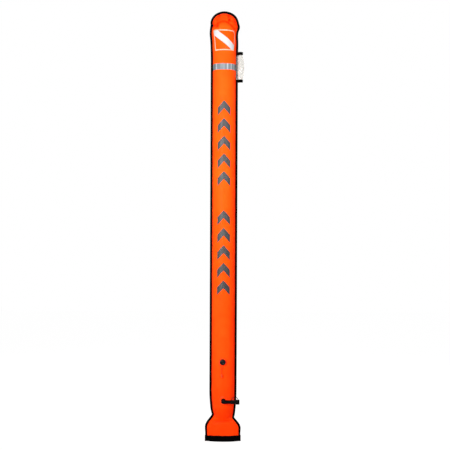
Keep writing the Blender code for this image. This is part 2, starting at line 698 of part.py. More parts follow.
def make_valve_cap(mats, place, low, roof, cord_depth):
    """The domed cap with its ring of vents and the slot that the cord leaves by."""
    wall = 1.3 * MM
    crown = roof + wall
    shoulder = roof - 3.6 * MM
    dome_r = VALVE_CAP_R - 5.2 * MM
    turn = np.radians(np.linspace(0, 90, 6))
    outside = [(dome_r + (VALVE_CAP_R - dome_r) * math.cos(a),
                shoulder + (crown - shoulder) * math.sin(a)) for a in turn]
    inner_r = VALVE_CAP_R - wall
    inside = [(dome_r + (inner_r - dome_r) * math.cos(a),
               shoulder + (roof - shoulder) * math.sin(a)) for a in reversed(turn)]
    outline = [(0, roof)] + inside + [(inner_r, low), (VALVE_CAP_R - 0.4 * MM, low),
                                      (VALVE_CAP_R, low + 0.4 * MM)] + outside + [(0, crown)]
    cap = turned("valve_cap", outline, mats["plastic"], place)
    bm = bmesh.new()
    for k in range(VENTS):
        turn_k = Matrix.Rotation(2 * math.pi * (k + 0.5) / VENTS, 4, "Z")
        shift = Matrix.Translation((VALVE_CAP_R - 4.2 * MM, 0, roof))
        bmesh.ops.create_cone(bm, cap_ends=True, segments=8, radius1=1.3 * MM, radius2=1.3 * MM,
                              depth=8 * MM, matrix=turn_k @ shift)
    vents = finish("valve_vents", bm, CUTTER, place)
    combine(cap, vents, "DIFFERENCE")
    slot_place = Matrix.Translation((VALVE_X - CORD_OFFSET, -cord_depth, VALVE_Z - VALVE_CAP_R))
    slot = rod("cord_slot", CORD_R + 0.4 * MM, -3 * MM, 4.5 * MM, slot_place, 10)
    combine(cap, slot, "DIFFERENCE")


def make_pull_cord(mats, depth):
    """The cord that hangs from the cap and the toggle on its end."""
    x = VALVE_X - CORD_OFFSET
    top = VALVE_Z - math.sqrt(POPPET_R**2 - CORD_OFFSET**2) - 2 * FIT
    exit_z = VALVE_Z - math.sqrt(VALVE_CAP_R**2 - CORD_OFFSET**2)
    toggle_top = exit_z - CORD_HANG
    end = toggle_top - TOGGLE_BORE + FIT
    z = np.linspace(top, end, round((top - end) / (5 * CORD_R)) + 1)
    below = np.clip((exit_z - z) / CORD_HANG, 0, 1)
    sway = 0.7 * MM * np.sin(math.pi * below) ** 2
    curve = bpy.data.curves.new("pull_cord", "CURVE")
    curve.dimensions = "3D"
    curve.bevel_depth = CORD_R
    curve.bevel_resolution = 2
    curve.use_fill_caps = True
    spline = curve.splines.new("POLY")
    spline.points.add(len(z) - 1)
    route = np.stack([x - sway, np.full(len(z), -depth), z, np.ones(len(z))], axis=1)
    spline.points.foreach_set("co", route.ravel())
    curve.materials.append(mats["cord"])
    cord = bpy.data.objects.new("pull_cord", curve)
    bpy.context.collection.objects.link(cord)

    bore = CORD_R + FIT
    low = toggle_top - TOGGLE_LENGTH
    outline = [(0, low), (2.2 * MM, low), (TOGGLE_R, low + 1.6 * MM),
               (TOGGLE_R, toggle_top - 2.2 * MM), (2.0 * MM, toggle_top), (bore, toggle_top),
               (bore, toggle_top - TOGGLE_BORE), (0, toggle_top - TOGGLE_BORE)]
    turned("pull_toggle", outline, mats["toggle"], Matrix.Translation((x, -depth, 0)), 14)


def along_hose():
    """Places a turned piece so that its height runs along the hose, to the right."""
    return Matrix(((0, 0, 1, 0), (1, 0, 0, -HOSE_DEPTH), (0, 1, 0, HOSE_Z), (0, 0, 0, 1)))


def make_elbow(mats):
    place = facing_front(INFLATOR_X, INFLATOR_Z)
    low = FITTING_BASE
    flange = low + ELBOW_FLANGE
    flange_r = INFLATOR_BOSS_R - FIT
    outline = [(0, SLEEVE_END), (SLEEVE_R, SLEEVE_END), (SLEEVE_R, low), (flange_r, low),
               (flange_r, flange - 0.4 * MM), (ELBOW_R, flange)]
    outline += arc(0, HOSE_DEPTH, ELBOW_R, 0, 90, 6)[:-1] + [(0, HOSE_DEPTH + ELBOW_R)]
    elbow = turned("inflator_elbow", outline, mats["plastic"], place)
    hose = along_hose()
    shoulder = HOSE_START - FIT
    barb = HOSE_BORE - FIT
    stub_end = HOSE_START + 11.5 * MM
    stub_r = HOSE_R + 0.6 * MM
    outline = [(0, MM - stub_r)] + arc(0, MM, stub_r, -90, 0, 5)[1:]
    outline += [(stub_r, shoulder), (barb, shoulder), (barb, stub_end - 1.5 * MM),
                (barb - 0.8 * MM, stub_end), (0, stub_end)]
    stub = turned("elbow_stub", outline, CUTTER, hose)
    combine(elbow, stub, "UNION")
    combine(elbow, rod("elbow_bore_back", ELBOW_BORE, SLEEVE_END - MM, HOSE_DEPTH, place, 16),
            "DIFFERENCE")
    combine(elbow, rod("elbow_bore_side", ELBOW_BORE, -2.5 * MM, stub_end + MM, hose, 16),
            "DIFFERENCE")


def make_hose(mats):
    end = HOSE_START + HOSE_LENGTH
    thick = HOSE_R + 0.5 * MM
    outline = [(HOSE_BORE, HOSE_START), (thick, HOSE_START), (thick - 0.1 * MM, HOSE_START + 3 * MM),
               (HOSE_R - 0.2 * MM, HOSE_START + 9 * MM), (HOSE_R - 0.3 * MM, HOSE_START + 13 * MM),
               (HOSE_R, BODY_START - MM), (HOSE_R, end), (HOSE_BORE, end)]
    return turned("inflator_hose", outline, mats["rubber"], along_hose())


def make_inflator(mats):
    """Patch, gasket, nut, elbow, hose, and the push-to-open mouthpiece at its end."""
    place = facing_front(INFLATOR_X, INFLATOR_Z)
    make_patch("inflator_patch", INFLATOR_X, INFLATOR_Z, INFLATOR_BOSS_R, mats["film"])
    make_gasket("inflator_gasket", place, INFLATOR_BOSS_R, mats["rubber"])
    make_nut("inflator_nut", INFLATOR_X, place, mats["plastic"])
    make_elbow(mats)
    make_hose(mats)

    hose = along_hose()
    chamber = BODY_START + SOCKET_DEPTH
    seat = chamber + CHAMBER_LENGTH
    guide = seat + SEAT_LENGTH
    body_end = guide + GUIDE_LENGTH
    socket_r = HOSE_R + FIT
    collar = socket_r + 1.1 * MM
    outline = [(socket_r, BODY_START), (collar - 0.3 * MM, BODY_START),
               (collar, BODY_START + 0.4 * MM), (collar, chamber), (INFLATOR_BODY_R, chamber + MM),
               (INFLATOR_BODY_R, body_end - 0.4 * MM), (INFLATOR_BODY_R - 0.4 * MM, body_end),
               (CHAMBER_R, body_end), (CHAMBER_R, guide), (SEAT_R, guide), (SEAT_R, seat),
               (CHAMBER_R, seat), (CHAMBER_R, chamber), (socket_r, chamber)]
    turned("inflator_body", outline, mats["plastic"], hose)

    seal_high = seat - FIT
    seal_low = seal_high - SEAL
    seal_in = STEM_R + FIT
    turned("inflator_seal", [(seal_in, seal_low), (STEM_DISC_R - 0.2 * MM, seal_low),
                             (STEM_DISC_R - 0.2 * MM, seal_high), (seal_in, seal_high)],
           mats["seal"], hose, SMALL_ROUND)
    disc_high = seal_low - FIT
    floor = body_end + TIP_TRAVEL + 0.6 * MM
    hub_low = floor - 3 * MM
    stem_end = floor - FIT
    outline = [(0, disc_high - STEM_DISC), (STEM_DISC_R, disc_high - STEM_DISC),
               (STEM_DISC_R, disc_high), (STEM_R, disc_high), (STEM_R, stem_end), (0, stem_end)]
    turned("inflator_stem", outline, mats["plastic"], hose, SMALL_ROUND)
    coil("inflator_spring", TIP_SPRING_R, TIP_WIRE, TIP_SPRING_TURNS, guide + FIT,
         hub_low - FIT, mats["steel"], hose)

    skirt_in = INFLATOR_BODY_R + 0.5 * MM
    tube_out = CHAMBER_R - FIT
    skirt = body_end - TIP_LAP
    tube_low = body_end - 3.2 * MM
    edge = 1.5 * MM
    outline = [(skirt_in, skirt), (TIP_R - 0.3 * MM, skirt), (TIP_R, skirt + 0.4 * MM)]
    outline += arc(TIP_R - edge, TIP_END - edge, edge, 0, 90, 4)
    outline += [(TIP_BORE + 0.7 * MM, TIP_END), (TIP_BORE, TIP_END - 0.7 * MM),
                (TIP_BORE, tube_low), (tube_out, tube_low), (tube_out, floor), (skirt_in, floor)]
    tip = turned("inflator_tip", outline, mats["plastic"], hose)
    hub = turned("tip_hub", [(STEM_R + FIT, hub_low), (2.7 * MM, hub_low), (2.7 * MM, floor),
                             (STEM_R + FIT, floor)], CUTTER, hose, SMALL_ROUND)
    spokes = arms("tip_spokes", 3, 2.2 * MM, TIP_BORE + 0.5 * MM, 1.2 * MM,
                  hub_low + 0.5 * MM, floor - 0.5 * MM, hose)
    combine(tip, hub, "UNION")
    combine(tip, spokes, "UNION")


# Line ring on the right edge

def make_ring(mats):
    """A webbing tab sewn to the edge tape, and the steel ring that hangs in its eye."""
    foot = TAPE_HALF + FIT
    eye_out = TAB_EYE_R + TAB
    web = TAB
    reach = math.sqrt(eye_out**2 - web**2)
    z = RING_PIVOT_Z
    angle = math.degrees(math.asin(web / eye_out))
    outline = [(foot, z - TAB_FOOT / 2), (foot + TAB, z - TAB_FOOT / 2), (foot + TAB, z - web),
               (RING_DEPTH - reach - 6 * MM, z - web)]
    outline += arc(RING_DEPTH, z, eye_out, -180 + angle, 180 - angle, 12)
    outline += [(RING_DEPTH - reach - 6 * MM, z + web), (foot + TAB, z + web),
                (foot + TAB, z + TAB_FOOT / 2), (foot, z + TAB_FOOT / 2)]
    middle = float(seam_half(z, 1)) + TAB_OFFSET
    sections = []
    for x in (middle - TAB_WIDTH / 2, middle + TAB_WIDTH / 2):
        sections.append([(x - TAB_LEAN * (d - foot) / RING_DEPTH, -d, h) for d, h in outline])
    tab = loft("ring_tab", sections, mats["tape"])
    ring_x = middle - TAB_LEAN * (RING_DEPTH - foot) / RING_DEPTH
    across = Matrix(((0, 0, 1, ring_x), (1, 0, 0, -RING_DEPTH), (0, 1, 0, z), (0, 0, 0, 1)))
    combine(tab, rod("tab_eye", TAB_EYE_R, -TAB_WIDTH, TAB_WIDTH, across, 16), "DIFFERENCE")

    around = np.radians(np.linspace(0, 360, 32, endpoint=False))
    wire = np.radians(np.linspace(0, 360, 8, endpoint=False))
    radius = RING_R + RING_WIRE_R * np.cos(wire)
    sections = np.zeros((len(around), len(wire), 3))
    sections[..., 0] = radius * np.sin(around)[:, None]
    sections[..., 1] = RING_WIRE_R * np.sin(wire)
    sections[..., 2] = radius * np.cos(around)[:, None] - RING_R
    loft("line_ring", sections, mats["steel"], closed_path=True,
         place=Matrix.Translation((ring_x, -RING_DEPTH, z)))
    print(f"ring pivot at {ring_x / MM:.2f}, {-RING_DEPTH / MM:.2f}, {z / MM:.2f} mm")


def make_tube(mats):
    """Panels with the two fitting holes, edge tape, hem, duckbill and bands."""
    front = make_panel("front_panel", -1, mats["fabric"])
    for name, x, z in (("valve_hole", VALVE_X, VALVE_Z),
                       ("inflator_hole", INFLATOR_X, INFLATOR_Z)):
        hole = rod(name, HOLE_R, SLEEVE_END, BOSS_TOP + 5 * MM, facing_front(x, z), SMALL_ROUND)
        combine(front, hole, "DIFFERENCE")
    make_panel("back_panel", 1, mats["fabric"])
    make_edge_tape(mats["tape"])
    make_hem_outer(mats["tape"])
    for side, face in (("front", -1), ("back", 1)):
        make_hem_inner("mouth_hem_inner_" + side, face, mats["tape"])
        make_flap("duckbill_flap_" + side, face, mats["film"])
        make_band("reflective_band_" + side, face, mats["silver"])


for old in list(bpy.data.objects):
    bpy.data.objects.remove(old, do_unlink=True)
CUTTER = material("guide", (0.5, 0.5, 0.5), 0.5)
MATERIALS = make_materials()
make_tube(MATERIALS)
make_sleeve(MATERIALS)
make_relief_valve(MATERIALS)
make_inflator(MATERIALS)
make_ring(MATERIALS)
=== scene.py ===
import json

import bmesh
import bpy
import numpy as np
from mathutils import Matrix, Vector


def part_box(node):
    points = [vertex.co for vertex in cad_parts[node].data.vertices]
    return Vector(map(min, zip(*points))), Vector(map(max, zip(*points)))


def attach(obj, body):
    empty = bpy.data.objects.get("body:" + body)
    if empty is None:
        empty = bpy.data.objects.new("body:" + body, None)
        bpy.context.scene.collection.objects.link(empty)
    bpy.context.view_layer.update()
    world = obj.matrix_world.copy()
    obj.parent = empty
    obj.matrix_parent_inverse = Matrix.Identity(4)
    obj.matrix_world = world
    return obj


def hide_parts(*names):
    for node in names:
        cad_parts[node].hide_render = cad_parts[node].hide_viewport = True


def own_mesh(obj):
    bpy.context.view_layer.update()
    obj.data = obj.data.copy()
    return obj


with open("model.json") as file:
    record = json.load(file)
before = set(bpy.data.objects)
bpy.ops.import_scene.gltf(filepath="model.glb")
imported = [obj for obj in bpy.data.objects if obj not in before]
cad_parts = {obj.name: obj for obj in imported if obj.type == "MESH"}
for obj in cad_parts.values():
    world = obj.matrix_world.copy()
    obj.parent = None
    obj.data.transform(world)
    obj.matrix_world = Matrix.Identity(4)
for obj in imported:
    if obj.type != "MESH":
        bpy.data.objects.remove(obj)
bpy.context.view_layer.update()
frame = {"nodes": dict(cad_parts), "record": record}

# An inflated surface marker buoy that stands on its open mouth, front towards -Y. All lengths
# below are millimetres, and putMesh turns them into metres. "Depth" is the distance in front of
# the tube's middle plane, so y is minus the depth.
bodyOf = {node: body for body, nodes in frame["record"]["behaviour"]["bodies"].items()
          for node in nodes}


# the camera: level with the middle of the tube, four metres away, tipped by a quarter degree
view = {"place": (0.0056, -4.0, 0.9059), "lens": 76.25, "roll": -0.25}
photographer = bpy.data.cameras.new("camera")
photographer.lens = view["lens"]
photographer.sensor_width = 36
camera = bpy.data.objects.new("camera", photographer)
camera.location = view["place"]
camera.rotation_euler = np.radians((90, view["roll"], 0)).tolist()
bpy.context.collection.objects.link(camera)
bpy.context.scene.camera = camera


# Meshes from whole arrays

def gridQuads(shape):
    # four corners of every cell of a stack of grids, as one array of indices
    index = np.arange(np.prod(shape)).reshape(shape)
    low, high = index[:, :-1], index[:, 1:]
    cells = stacked(low[..., :-1], low[..., 1:], high[..., 1:], high[..., :-1])
    return cells.reshape(-1, 4)


def putMesh(name, grids, finish, towards=None, sharp=40, close=False, wearAndPaintedLight=None):
    # one object from a list of (points, uv) grids in millimetres. Points that coincide are
    # merged, faces are turned outwards, and an open sheet faces the way of its furthest face.
    # The last argument is a value from 0 to 1 at every point, where the material mixes in painted
    # shade or painted highlight.
    points, uvs, quads, count = [], [], [], 0
    for grid, uv in grids:
        grid = grid if grid.ndim == 4 else grid[None]
        uv = np.broadcast_to(uv if uv.ndim == 4 else uv[None], (*grid.shape[:3], 2))
        points.append(grid.reshape(-1, 3))
        uvs.append(uv.reshape(-1, 2))
        quads.append(gridQuads(grid.shape[:3]) + count)
        count += len(points[-1])
    quads = np.concatenate(quads)
    mesh = bpy.data.meshes.new(name)
    mesh.from_pydata(np.concatenate(points) / 1000, [], quads)
    layer = mesh.uv_layers.new(name="cloth")
    layer.data.foreach_set("uv", np.concatenate(uvs)[quads.ravel()].ravel())
    if wearAndPaintedLight is not None:
        mesh.attributes.new("wearAndPaintedLight", "FLOAT", "POINT").data.foreach_set("value", wearAndPaintedLight.ravel())
    bm = bmesh.new()
    bm.from_mesh(mesh)
    bmesh.ops.remove_doubles(bm, verts=bm.verts, dist=2e-6)
    if close:
        bmesh.ops.holes_fill(bm, edges=[e for e in bm.edges if e.is_boundary])
    bmesh.ops.recalc_face_normals(bm, faces=bm.faces)
    if towards is not None:
        bm.normal_update()
        aim = Vector(towards)
        furthest = max(bm.faces, key=lambda f: f.calc_center_median().dot(aim))
        if furthest.normal.dot(aim) < 0:
            bmesh.ops.reverse_faces(bm, faces=bm.faces)
    bm.to_mesh(mesh)
    bm.free()
    mesh.materials.append(finish)
    mesh.shade_smooth()
    mesh.set_sharp_from_angle(angle=np.radians(sharp))
    piece = bpy.data.objects.new(name, mesh)
    bpy.context.collection.objects.link(piece)
    return piece


def settle(piece, helpers=(), sharp=40):
    # the piece's modifiers become its mesh, and the shapes that helped go
    bpy.context.view_layer.update()
    graph = bpy.context.evaluated_depsgraph_get()
    done = bpy.data.meshes.new_from_object(piece.evaluated_get(graph),
                                           preserve_all_data_layers=True, depsgraph=graph)
    piece.modifiers.clear()
    piece.data = done
    done.name = piece.name
    done.shade_smooth()
    done.set_sharp_from_angle(angle=np.radians(sharp))
    for helper in helpers:
        bpy.data.objects.remove(helper, do_unlink=True)


def addRim(piece, width):
    # rounds the sharp edges of a wall
    rim = piece.modifiers.new("rim", "BEVEL")
    rim.width = width / 1000
    rim.segments = 2
    rim.limit_method = "ANGLE"
    rim.angle_limit = np.radians(50)


def thicken(piece, thickness, edge=0, even=True):
    # a wall outwards from the sheet, mitred where even, and its rim rounded by edge
    wall = piece.modifiers.new("wall", "SOLIDIFY")
    wall.thickness = thickness / 1000
    wall.offset = 1
    wall.use_even_offset = even
    if edge:
        addRim(piece, edge)
    settle(piece)


def carve(piece, joins=(), cuts=(), sharp=40):
    for operation, shapes in (("UNION", joins), ("DIFFERENCE", cuts)):
        for shape in shapes:
            step = piece.modifiers.new("shape", "BOOLEAN")
            step.operation = operation
            step.solver = "EXACT"
            step.object = shape
    settle(piece, [*joins, *cuts], sharp)
    bm = bmesh.new()
    bm.from_mesh(piece.data)
    bmesh.ops.remove_doubles(bm, verts=bm.verts, dist=3e-6)
    bmesh.ops.dissolve_degenerate(bm, edges=bm.edges, dist=1e-6)
    bmesh.ops.holes_fill(bm, edges=[e for e in bm.edges if e.is_boundary])
    bm.to_mesh(piece.data)
    bm.free()


def standIn(piece, node):
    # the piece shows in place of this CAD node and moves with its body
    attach(piece, bodyOf[node])
    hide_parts(node)


def stacked(*parts):
    # arrays stretched to one shape and put side by side on a new last axis
    return np.stack(np.broadcast_arrays(*parts), axis=-1)


def unmapped(points):
    return points, np.zeros((*points.shape[:-1], 2))


def unit(vectors):
    return vectors / np.linalg.norm(vectors, axis=-1, keepdims=True)


def placed(local, place):
    # points turned and shifted to a place
    turn, shift = place
    return local @ np.array(turn, dtype=float).T + np.array(shift, dtype=float)


def softOutline(corners, radius, steps=5, closed=False):
    # every corner becomes a short Bezier curve that starts and ends `radius` from it, or at
    # 0.45 of the side where that is less. An open outline keeps its two ends.
    corner = np.array(corners, dtype=float)
    t = np.linspace(0, 1, steps)[:, None]
    ends = []
    for shift in (1, -1):
        side = np.roll(corner, shift, axis=0) - corner
        span = np.linalg.norm(side, axis=1, keepdims=True)
        reach = np.minimum(np.reshape(radius, (-1, 1)), 0.45 * span)
        ends.append((corner + side / span * reach)[:, None])
    curve = (1 - t) ** 2 * ends[0] + 2 * t * (1 - t) * corner[:, None] + t**2 * ends[1]
    if closed:
        loop = curve.reshape(-1, 2)
        return np.concatenate([loop, loop[:1]])
    return np.concatenate([corner[:1], curve[1:-1].reshape(-1, 2), corner[-1:]])


def lengthAlong(points):
    # distance from the first point, along the last-but-one axis
    step = np.linalg.norm(np.diff(points, axis=-2), axis=-1)
    return np.concatenate([np.zeros((*step.shape[:-1], 1)), np.cumsum(step, axis=-1)], axis=-1)


def sampleLine(line, run, spots):
    # the line's columns at these distances along it
    return stacked(*(np.interp(spots, run, column) for column in line.T))


def alongPath(path, pitch, start=0, end=0):
    # even steps along a path of points: place and direction at each
    run = lengthAlong(path)
    spots = np.arange(start + pitch / 2, run[-1] - end, pitch)
    course = sampleLine(path, run, spots + 1) - sampleLine(path, run, spots - 1)
    return sampleLine(path, run, spots), unit(course), spots


def revolve(name, corners, finish, place, radius=0.3, segments=96, flute=None, steps=5):
    # an outline of (radius, height) corners turned round the axis of `place`, corners softened.
    # flute(radius, height, angle) gives a share by which the radius shrinks.
    outline = softOutline(corners, radius, steps, closed=corners[0][0] > 0)
    angle = np.linspace(0, 2 * np.pi, segments + 1)
    r, h = outline[:, :1], outline[:, 1:]
    if flute is not None:
        r = r * (1 - flute(r, h, angle))
    points = placed(stacked(r * np.cos(angle), r * np.sin(angle), h), place)
    uv = stacked(angle * outline[:, 0].max(), lengthAlong(outline)[:, None])
    return putMesh(name, [(points, uv)], finish, sharp=38)


def drill(name, radius, low, high, finish, place, segments):
    # a plain rod to cut a hole with
    outline = [(0, low), (radius, low), (radius, high), (0, high)]
    return revolve(name, outline, finish, place, 0, segments)


# Colours and shader nodes

def fromHex(code):
    # sRGB hex to the linear colour that shaders use
    srgb = np.array([int(code[k:k + 2], 16) for k in (1, 3, 5)]) / 255
    linear = np.where(srgb <= 0.04045, srgb / 12.92, ((srgb + 0.055) / 1.055) ** 2.4)
    return (*linear.tolist(), 1.0)


def link(owner, source, socket):
    # from a socket, or from a node's first output. owner is the material or world they are in.
    if isinstance(source, bpy.types.Node):
        source = source.outputs[0]
    owner.node_tree.links.new(source, socket)


def addNode(owner, kind, inputs=None, stops=None, **settings):
    # one node with its settings. A node or socket among the inputs is linked, the rest are set.
    node = owner.node_tree.nodes.new("ShaderNode" + kind)
    for setting, value in settings.items():
        setattr(node, setting, value)
    for socket, value in (inputs or {}).items():
        if isinstance(value, (bpy.types.Node, bpy.types.NodeSocket)):
            link(owner, value, node.inputs[socket])
        else:
            node.inputs[socket].default_value = value
    if stops:
        ramp = node.color_ramp
        while len(ramp.elements) < len(stops):
            ramp.elements.new(0.5)
        for element, (position, code) in zip(ramp.elements, stops):
            element.position = position
            element.color = fromHex(code)
    return node


def mathNode(owner, operation, *values):
    return addNode(owner, "Math", dict(enumerate(values)), operation=operation)


def startFinish(name, code, roughness, **sockets):
    # a new material with its plain values on the shader's own sockets
    finish = bpy.data.materials.new(name)
    finish.use_nodes = True
    shader = finish.node_tree.nodes["Principled BSDF"]
    for socket, value in {"Base Color": fromHex(code), "Roughness": roughness, **sockets}.items():
        shader.inputs[socket.replace("_", " ")].default_value = value
    finish.diffuse_color = fromHex(code)
    return finish


def drive(finish, socket, node):
    # a node's first output sets one of the shader's sockets
    link(finish, node, finish.node_tree.nodes["Principled BSDF"].inputs[socket])


def clothMap(finish, scaleU, scaleV, turn=0.0):
    # the piece's own map, which is in millimetres, scaled and turned
    cloth = addNode(finish, "UVMap", uv_map="cloth")
    return addNode(finish, "Mapping", {"Vector": cloth, "Scale": (scaleU, scaleV, 1),
                                       "Rotation": (0, 0, turn)})


def threads(finish, pitchU, pitchV, warp=0.0):
    # height of a plain weave with these pitches in millimetres
    turns = clothMap(finish, 2 * np.pi / pitchU, 2 * np.pi / pitchV, warp)
    parts = addNode(finish, "SeparateXYZ", {0: turns}).outputs
    return mathNode(finish, "MULTIPLY", *(mathNode(finish, "SINE", parts[k]) for k in (0, 1)))


def pattern(finish, kind, scale, **values):
    # a noise or cell pattern on the piece's own coordinates, in metres
    spot = addNode(finish, "TexCoord").outputs["Object"]
    return addNode(finish, kind, {"Vector": spot, "Scale": scale, **values})


def setColour(finish, value, stops, paintedLightColour=None):
    # a ramp of colours along a value, and another colour mixed in where the mesh's attribute
    # marks painted shade or painted highlight
    tone = addNode(finish, "ValToRGB", {"Fac": value}, stops=stops)
    if paintedLightColour:
        wearAndPaintedLight = addNode(finish, "Attribute", attribute_name="wearAndPaintedLight").outputs["Fac"]
        tone = addNode(finish, "MixRGB", {"Fac": wearAndPaintedLight, "Color1": tone,
                                          "Color2": fromHex(paintedLightColour)})
    drive(finish, "Base Color", tone)


def bumps(finish, height, strength, distance, **under):
    # relief from a height, over a coarser one where that is given as Normal
    return addNode(finish, "Bump", {"Strength": strength, "Distance": distance,
                                    "Height": height, **under})


def setRelief(finish, *relief, **under):
    drive(finish, "Normal", bumps(finish, *relief, **under))


def setRoughness(finish, value, low, high, **reach):
    drive(finish, "Roughness", addNode(finish, "MapRange", {
        "Value": value, "To Min": low, "To Max": high, **reach}))


# painted glow: an emission that makes a surface give off light of its own under any lamp
def paintedGlow(code, strength):
    return {"Emission_Color": fromHex(code), "Emission_Strength": strength}


# fluorescent nylon with a thin polyurethane coat: an orange with a painted glow that keeps it
# bright in shade, painted shade that makes it redder in its creases and on the crown, a faint
# weave under the coat and a broad weak sheen. The weave is coarser than the real threads, which
# are 0.4 mm apart and too fine to show.
coatedNylon = startFinish("fluorescentCoatedNylon", "#FF6C14", 0.5, Specular_IOR_Level=0.03,
                          **paintedGlow("#FF0C00", 0.7))
cloud = pattern(coatedNylon, "TexNoise", 14.0, Detail=4.0)
# FF2A02 is painted shade, mixed in by the mesh's attribute in the creases and on the crown
setColour(coatedNylon, cloud, [(0.3, "#FF6510"), (0.5, "#FF6C14"), (0.7, "#FF7318")], "#FF2A02")
setRoughness(coatedNylon, cloud, 0.36, 0.5)
dents = bumps(coatedNylon, pattern(coatedNylon, "TexNoise", 90.0, Detail=3.0), 0.25, 0.0006)
setRelief(coatedNylon, threads(coatedNylon, 1.1, 1.1), 0.3, 0.00008, Normal=dents)

# smooth orange polyurethane film, glossier than the cloth, with a pebbled weld texture and a
# painted glow
weldFilm = startFinish("orangeWeldFilm", "#FF6A12", 0.38, Specular_IOR_Level=0.25,
                       **paintedGlow("#FF0C00", 0.65))
setRelief(weldFilm, pattern(weldFilm, "TexVoronoi", 900.0), 0.3, 0.0001)

# glass-bead reflective tape: silver grey with a random streaky tone, and painted highlight
# stripes down it where its creases catch the light
reflectiveTape = startFinish("silverReflectiveTape", "#A0A5AA", 0.5, Metallic=0.1,
                             Specular_IOR_Level=0.2)
stripe = addNode(reflectiveTape, "TexNoise", {"Vector": clothMap(reflectiveTape, 0.16, 0.006),
                                              "Scale": 1.0, "Detail": 2.0})
# DFE6EC is painted highlight, mixed in by the mesh's attribute
setColour(reflectiveTape, stripe, [(0.34, "#8A9196"), (0.66, "#A6ABB1")], "#DFE6EC")
setRelief(reflectiveTape, pattern(reflectiveTape, "TexVoronoi", 1400.0), 0.25, 0.0001)

# soft clear vinyl: see-through with a faint warm milky cast and slow waves
clearVinyl = startFinish("clearVinylFilm", "#FBFAF7", 0.2, Transmission_Weight=0.86, IOR=1.45)
waves = pattern(clearVinyl, "TexNoise", 70.0, Detail=3.0, Distortion=1.2)
setRelief(clearVinyl, waves, 0.25, 0.0008)


def makeWebbing(name, pitchU, pitchV, warp=0.0):
    # black woven nylon tape: matt, almost no highlight, ribs that catch a little light
    finish = startFinish(name, "#050506", 0.9, Specular_IOR_Level=0.08)
    weave = threads(finish, pitchU, pitchV, warp)
    level = addNode(finish, "MapRange", {"Value": weave, "From Min": -1.0, "From Max": 1.0})
    setColour(finish, level, [(0.0, "#030304"), (1.0, "#0B0C0D")])
    setRelief(finish, weave, 0.7, 0.00025)
    return finish


def makeMoulded(name, code, roughness, grain=0.00006, **sockets):
    # injection-moulded plastic or rubber: an even colour, fine spark-eroded grain, soft shine
    finish = startFinish(name, code, roughness, **sockets)
    setRelief(finish, pattern(finish, "TexNoise", 1500.0, Detail=2.0), 0.4, grain)
    setRoughness(finish, pattern(finish, "TexNoise", 160.0, Detail=5.0), roughness - 0.08,
                 roughness + 0.1, **{"From Min": 0.3, "From Max": 0.7})
    return finish


def makeSteel(name, code, roughness, drawn):
    # bare steel wire: mirror-like, with a fine unevenness in its shine from drawing
    finish = startFinish(name, code, roughness, Metallic=1.0)
    wear = pattern(finish, "TexNoise", drawn, Detail=4.0)
    setRelief(finish, wear, 0.2, 0.00005)
    setRoughness(finish, wear, roughness - 0.06, roughness + 0.12)
    return finish


def makeInk(name, code, wearAndPaintedLight, **sockets):
    # screen-printed ink on the coat: flat, a little uneven where the cloth's weave shows through
    finish = startFinish(name, code, 0.5, **sockets)
    patchy = pattern(finish, "TexNoise", 240.0, Detail=6.0, Roughness=0.65)
    setColour(finish, patchy, [(0.35, code), (0.75, wearAndPaintedLight)])
    setRelief(finish, threads(finish, 1.1, 1.1), 0.3, 0.00006)
    return finish


edgeWebbing = makeWebbing("blackFoldedTape", 1.6, 1.3)
hemWebbing = makeWebbing("blackHemWebbing", 2.4, 1.5, 0.6)
blackPlastic = makeMoulded("blackMouldedPlastic", "#050506", 0.42, Specular_IOR_Level=0.16)
glossPlastic = makeMoulded("glossyBlackMouldedPlastic", "#040404", 0.14)
blackRubber = makeMoulded("blackRubber", "#060606", 0.55, 0.0001, Specular_IOR_Level=0.12)
greySilicone = makeMoulded("greySilicone", "#8B9093", 0.5)
# painted glow: the orange toggle plastic gives off a weak light of its own
orangePlastic = makeMoulded("orangeMouldedPlastic", "#FF6A2A", 0.4, **paintedGlow("#FF3A08", 0.25))
springSteel = makeSteel("springSteel", "#B9B6AF", 0.3, 700.0)
stainlessSteel = makeSteel("drawnStainlessSteel", "#38332D", 0.25, 500.0)
# painted glow: the white ink gives off a faint light of its own
whiteInk = makeInk("whitePrintInk", "#F2F1F8", "#EEE6E6", Specular_IOR_Level=0.2,
                   **paintedGlow("#FFFFFF", 0.1))
thinInk = makeInk("thinWhitePrintInk", "#FBEED6", "#F4DDBE", Specular_IOR_Level=0.2)
# painted glow: the deep orange ink gives off light of its own, as the cloth does
fieldInk = makeInk("deepOrangePrintInk", "#FF660A", "#FF6C0E", Specular_IOR_Level=0.06,
                   **paintedGlow("#FF0C00", 0.7))
charcoalInk = makeInk("charcoalPrintInk", "#454B50", "#5A5350")
blackThread = makeMoulded("blackPolyesterThread", "#0E0F11", 0.7, Specular_IOR_Level=0.15)
cordYarn = makeMoulded("redOrangeCordYarn", "#C8340A", 0.75)
print("materials ready")


# The shape of the inflated tube, as the CAD has it

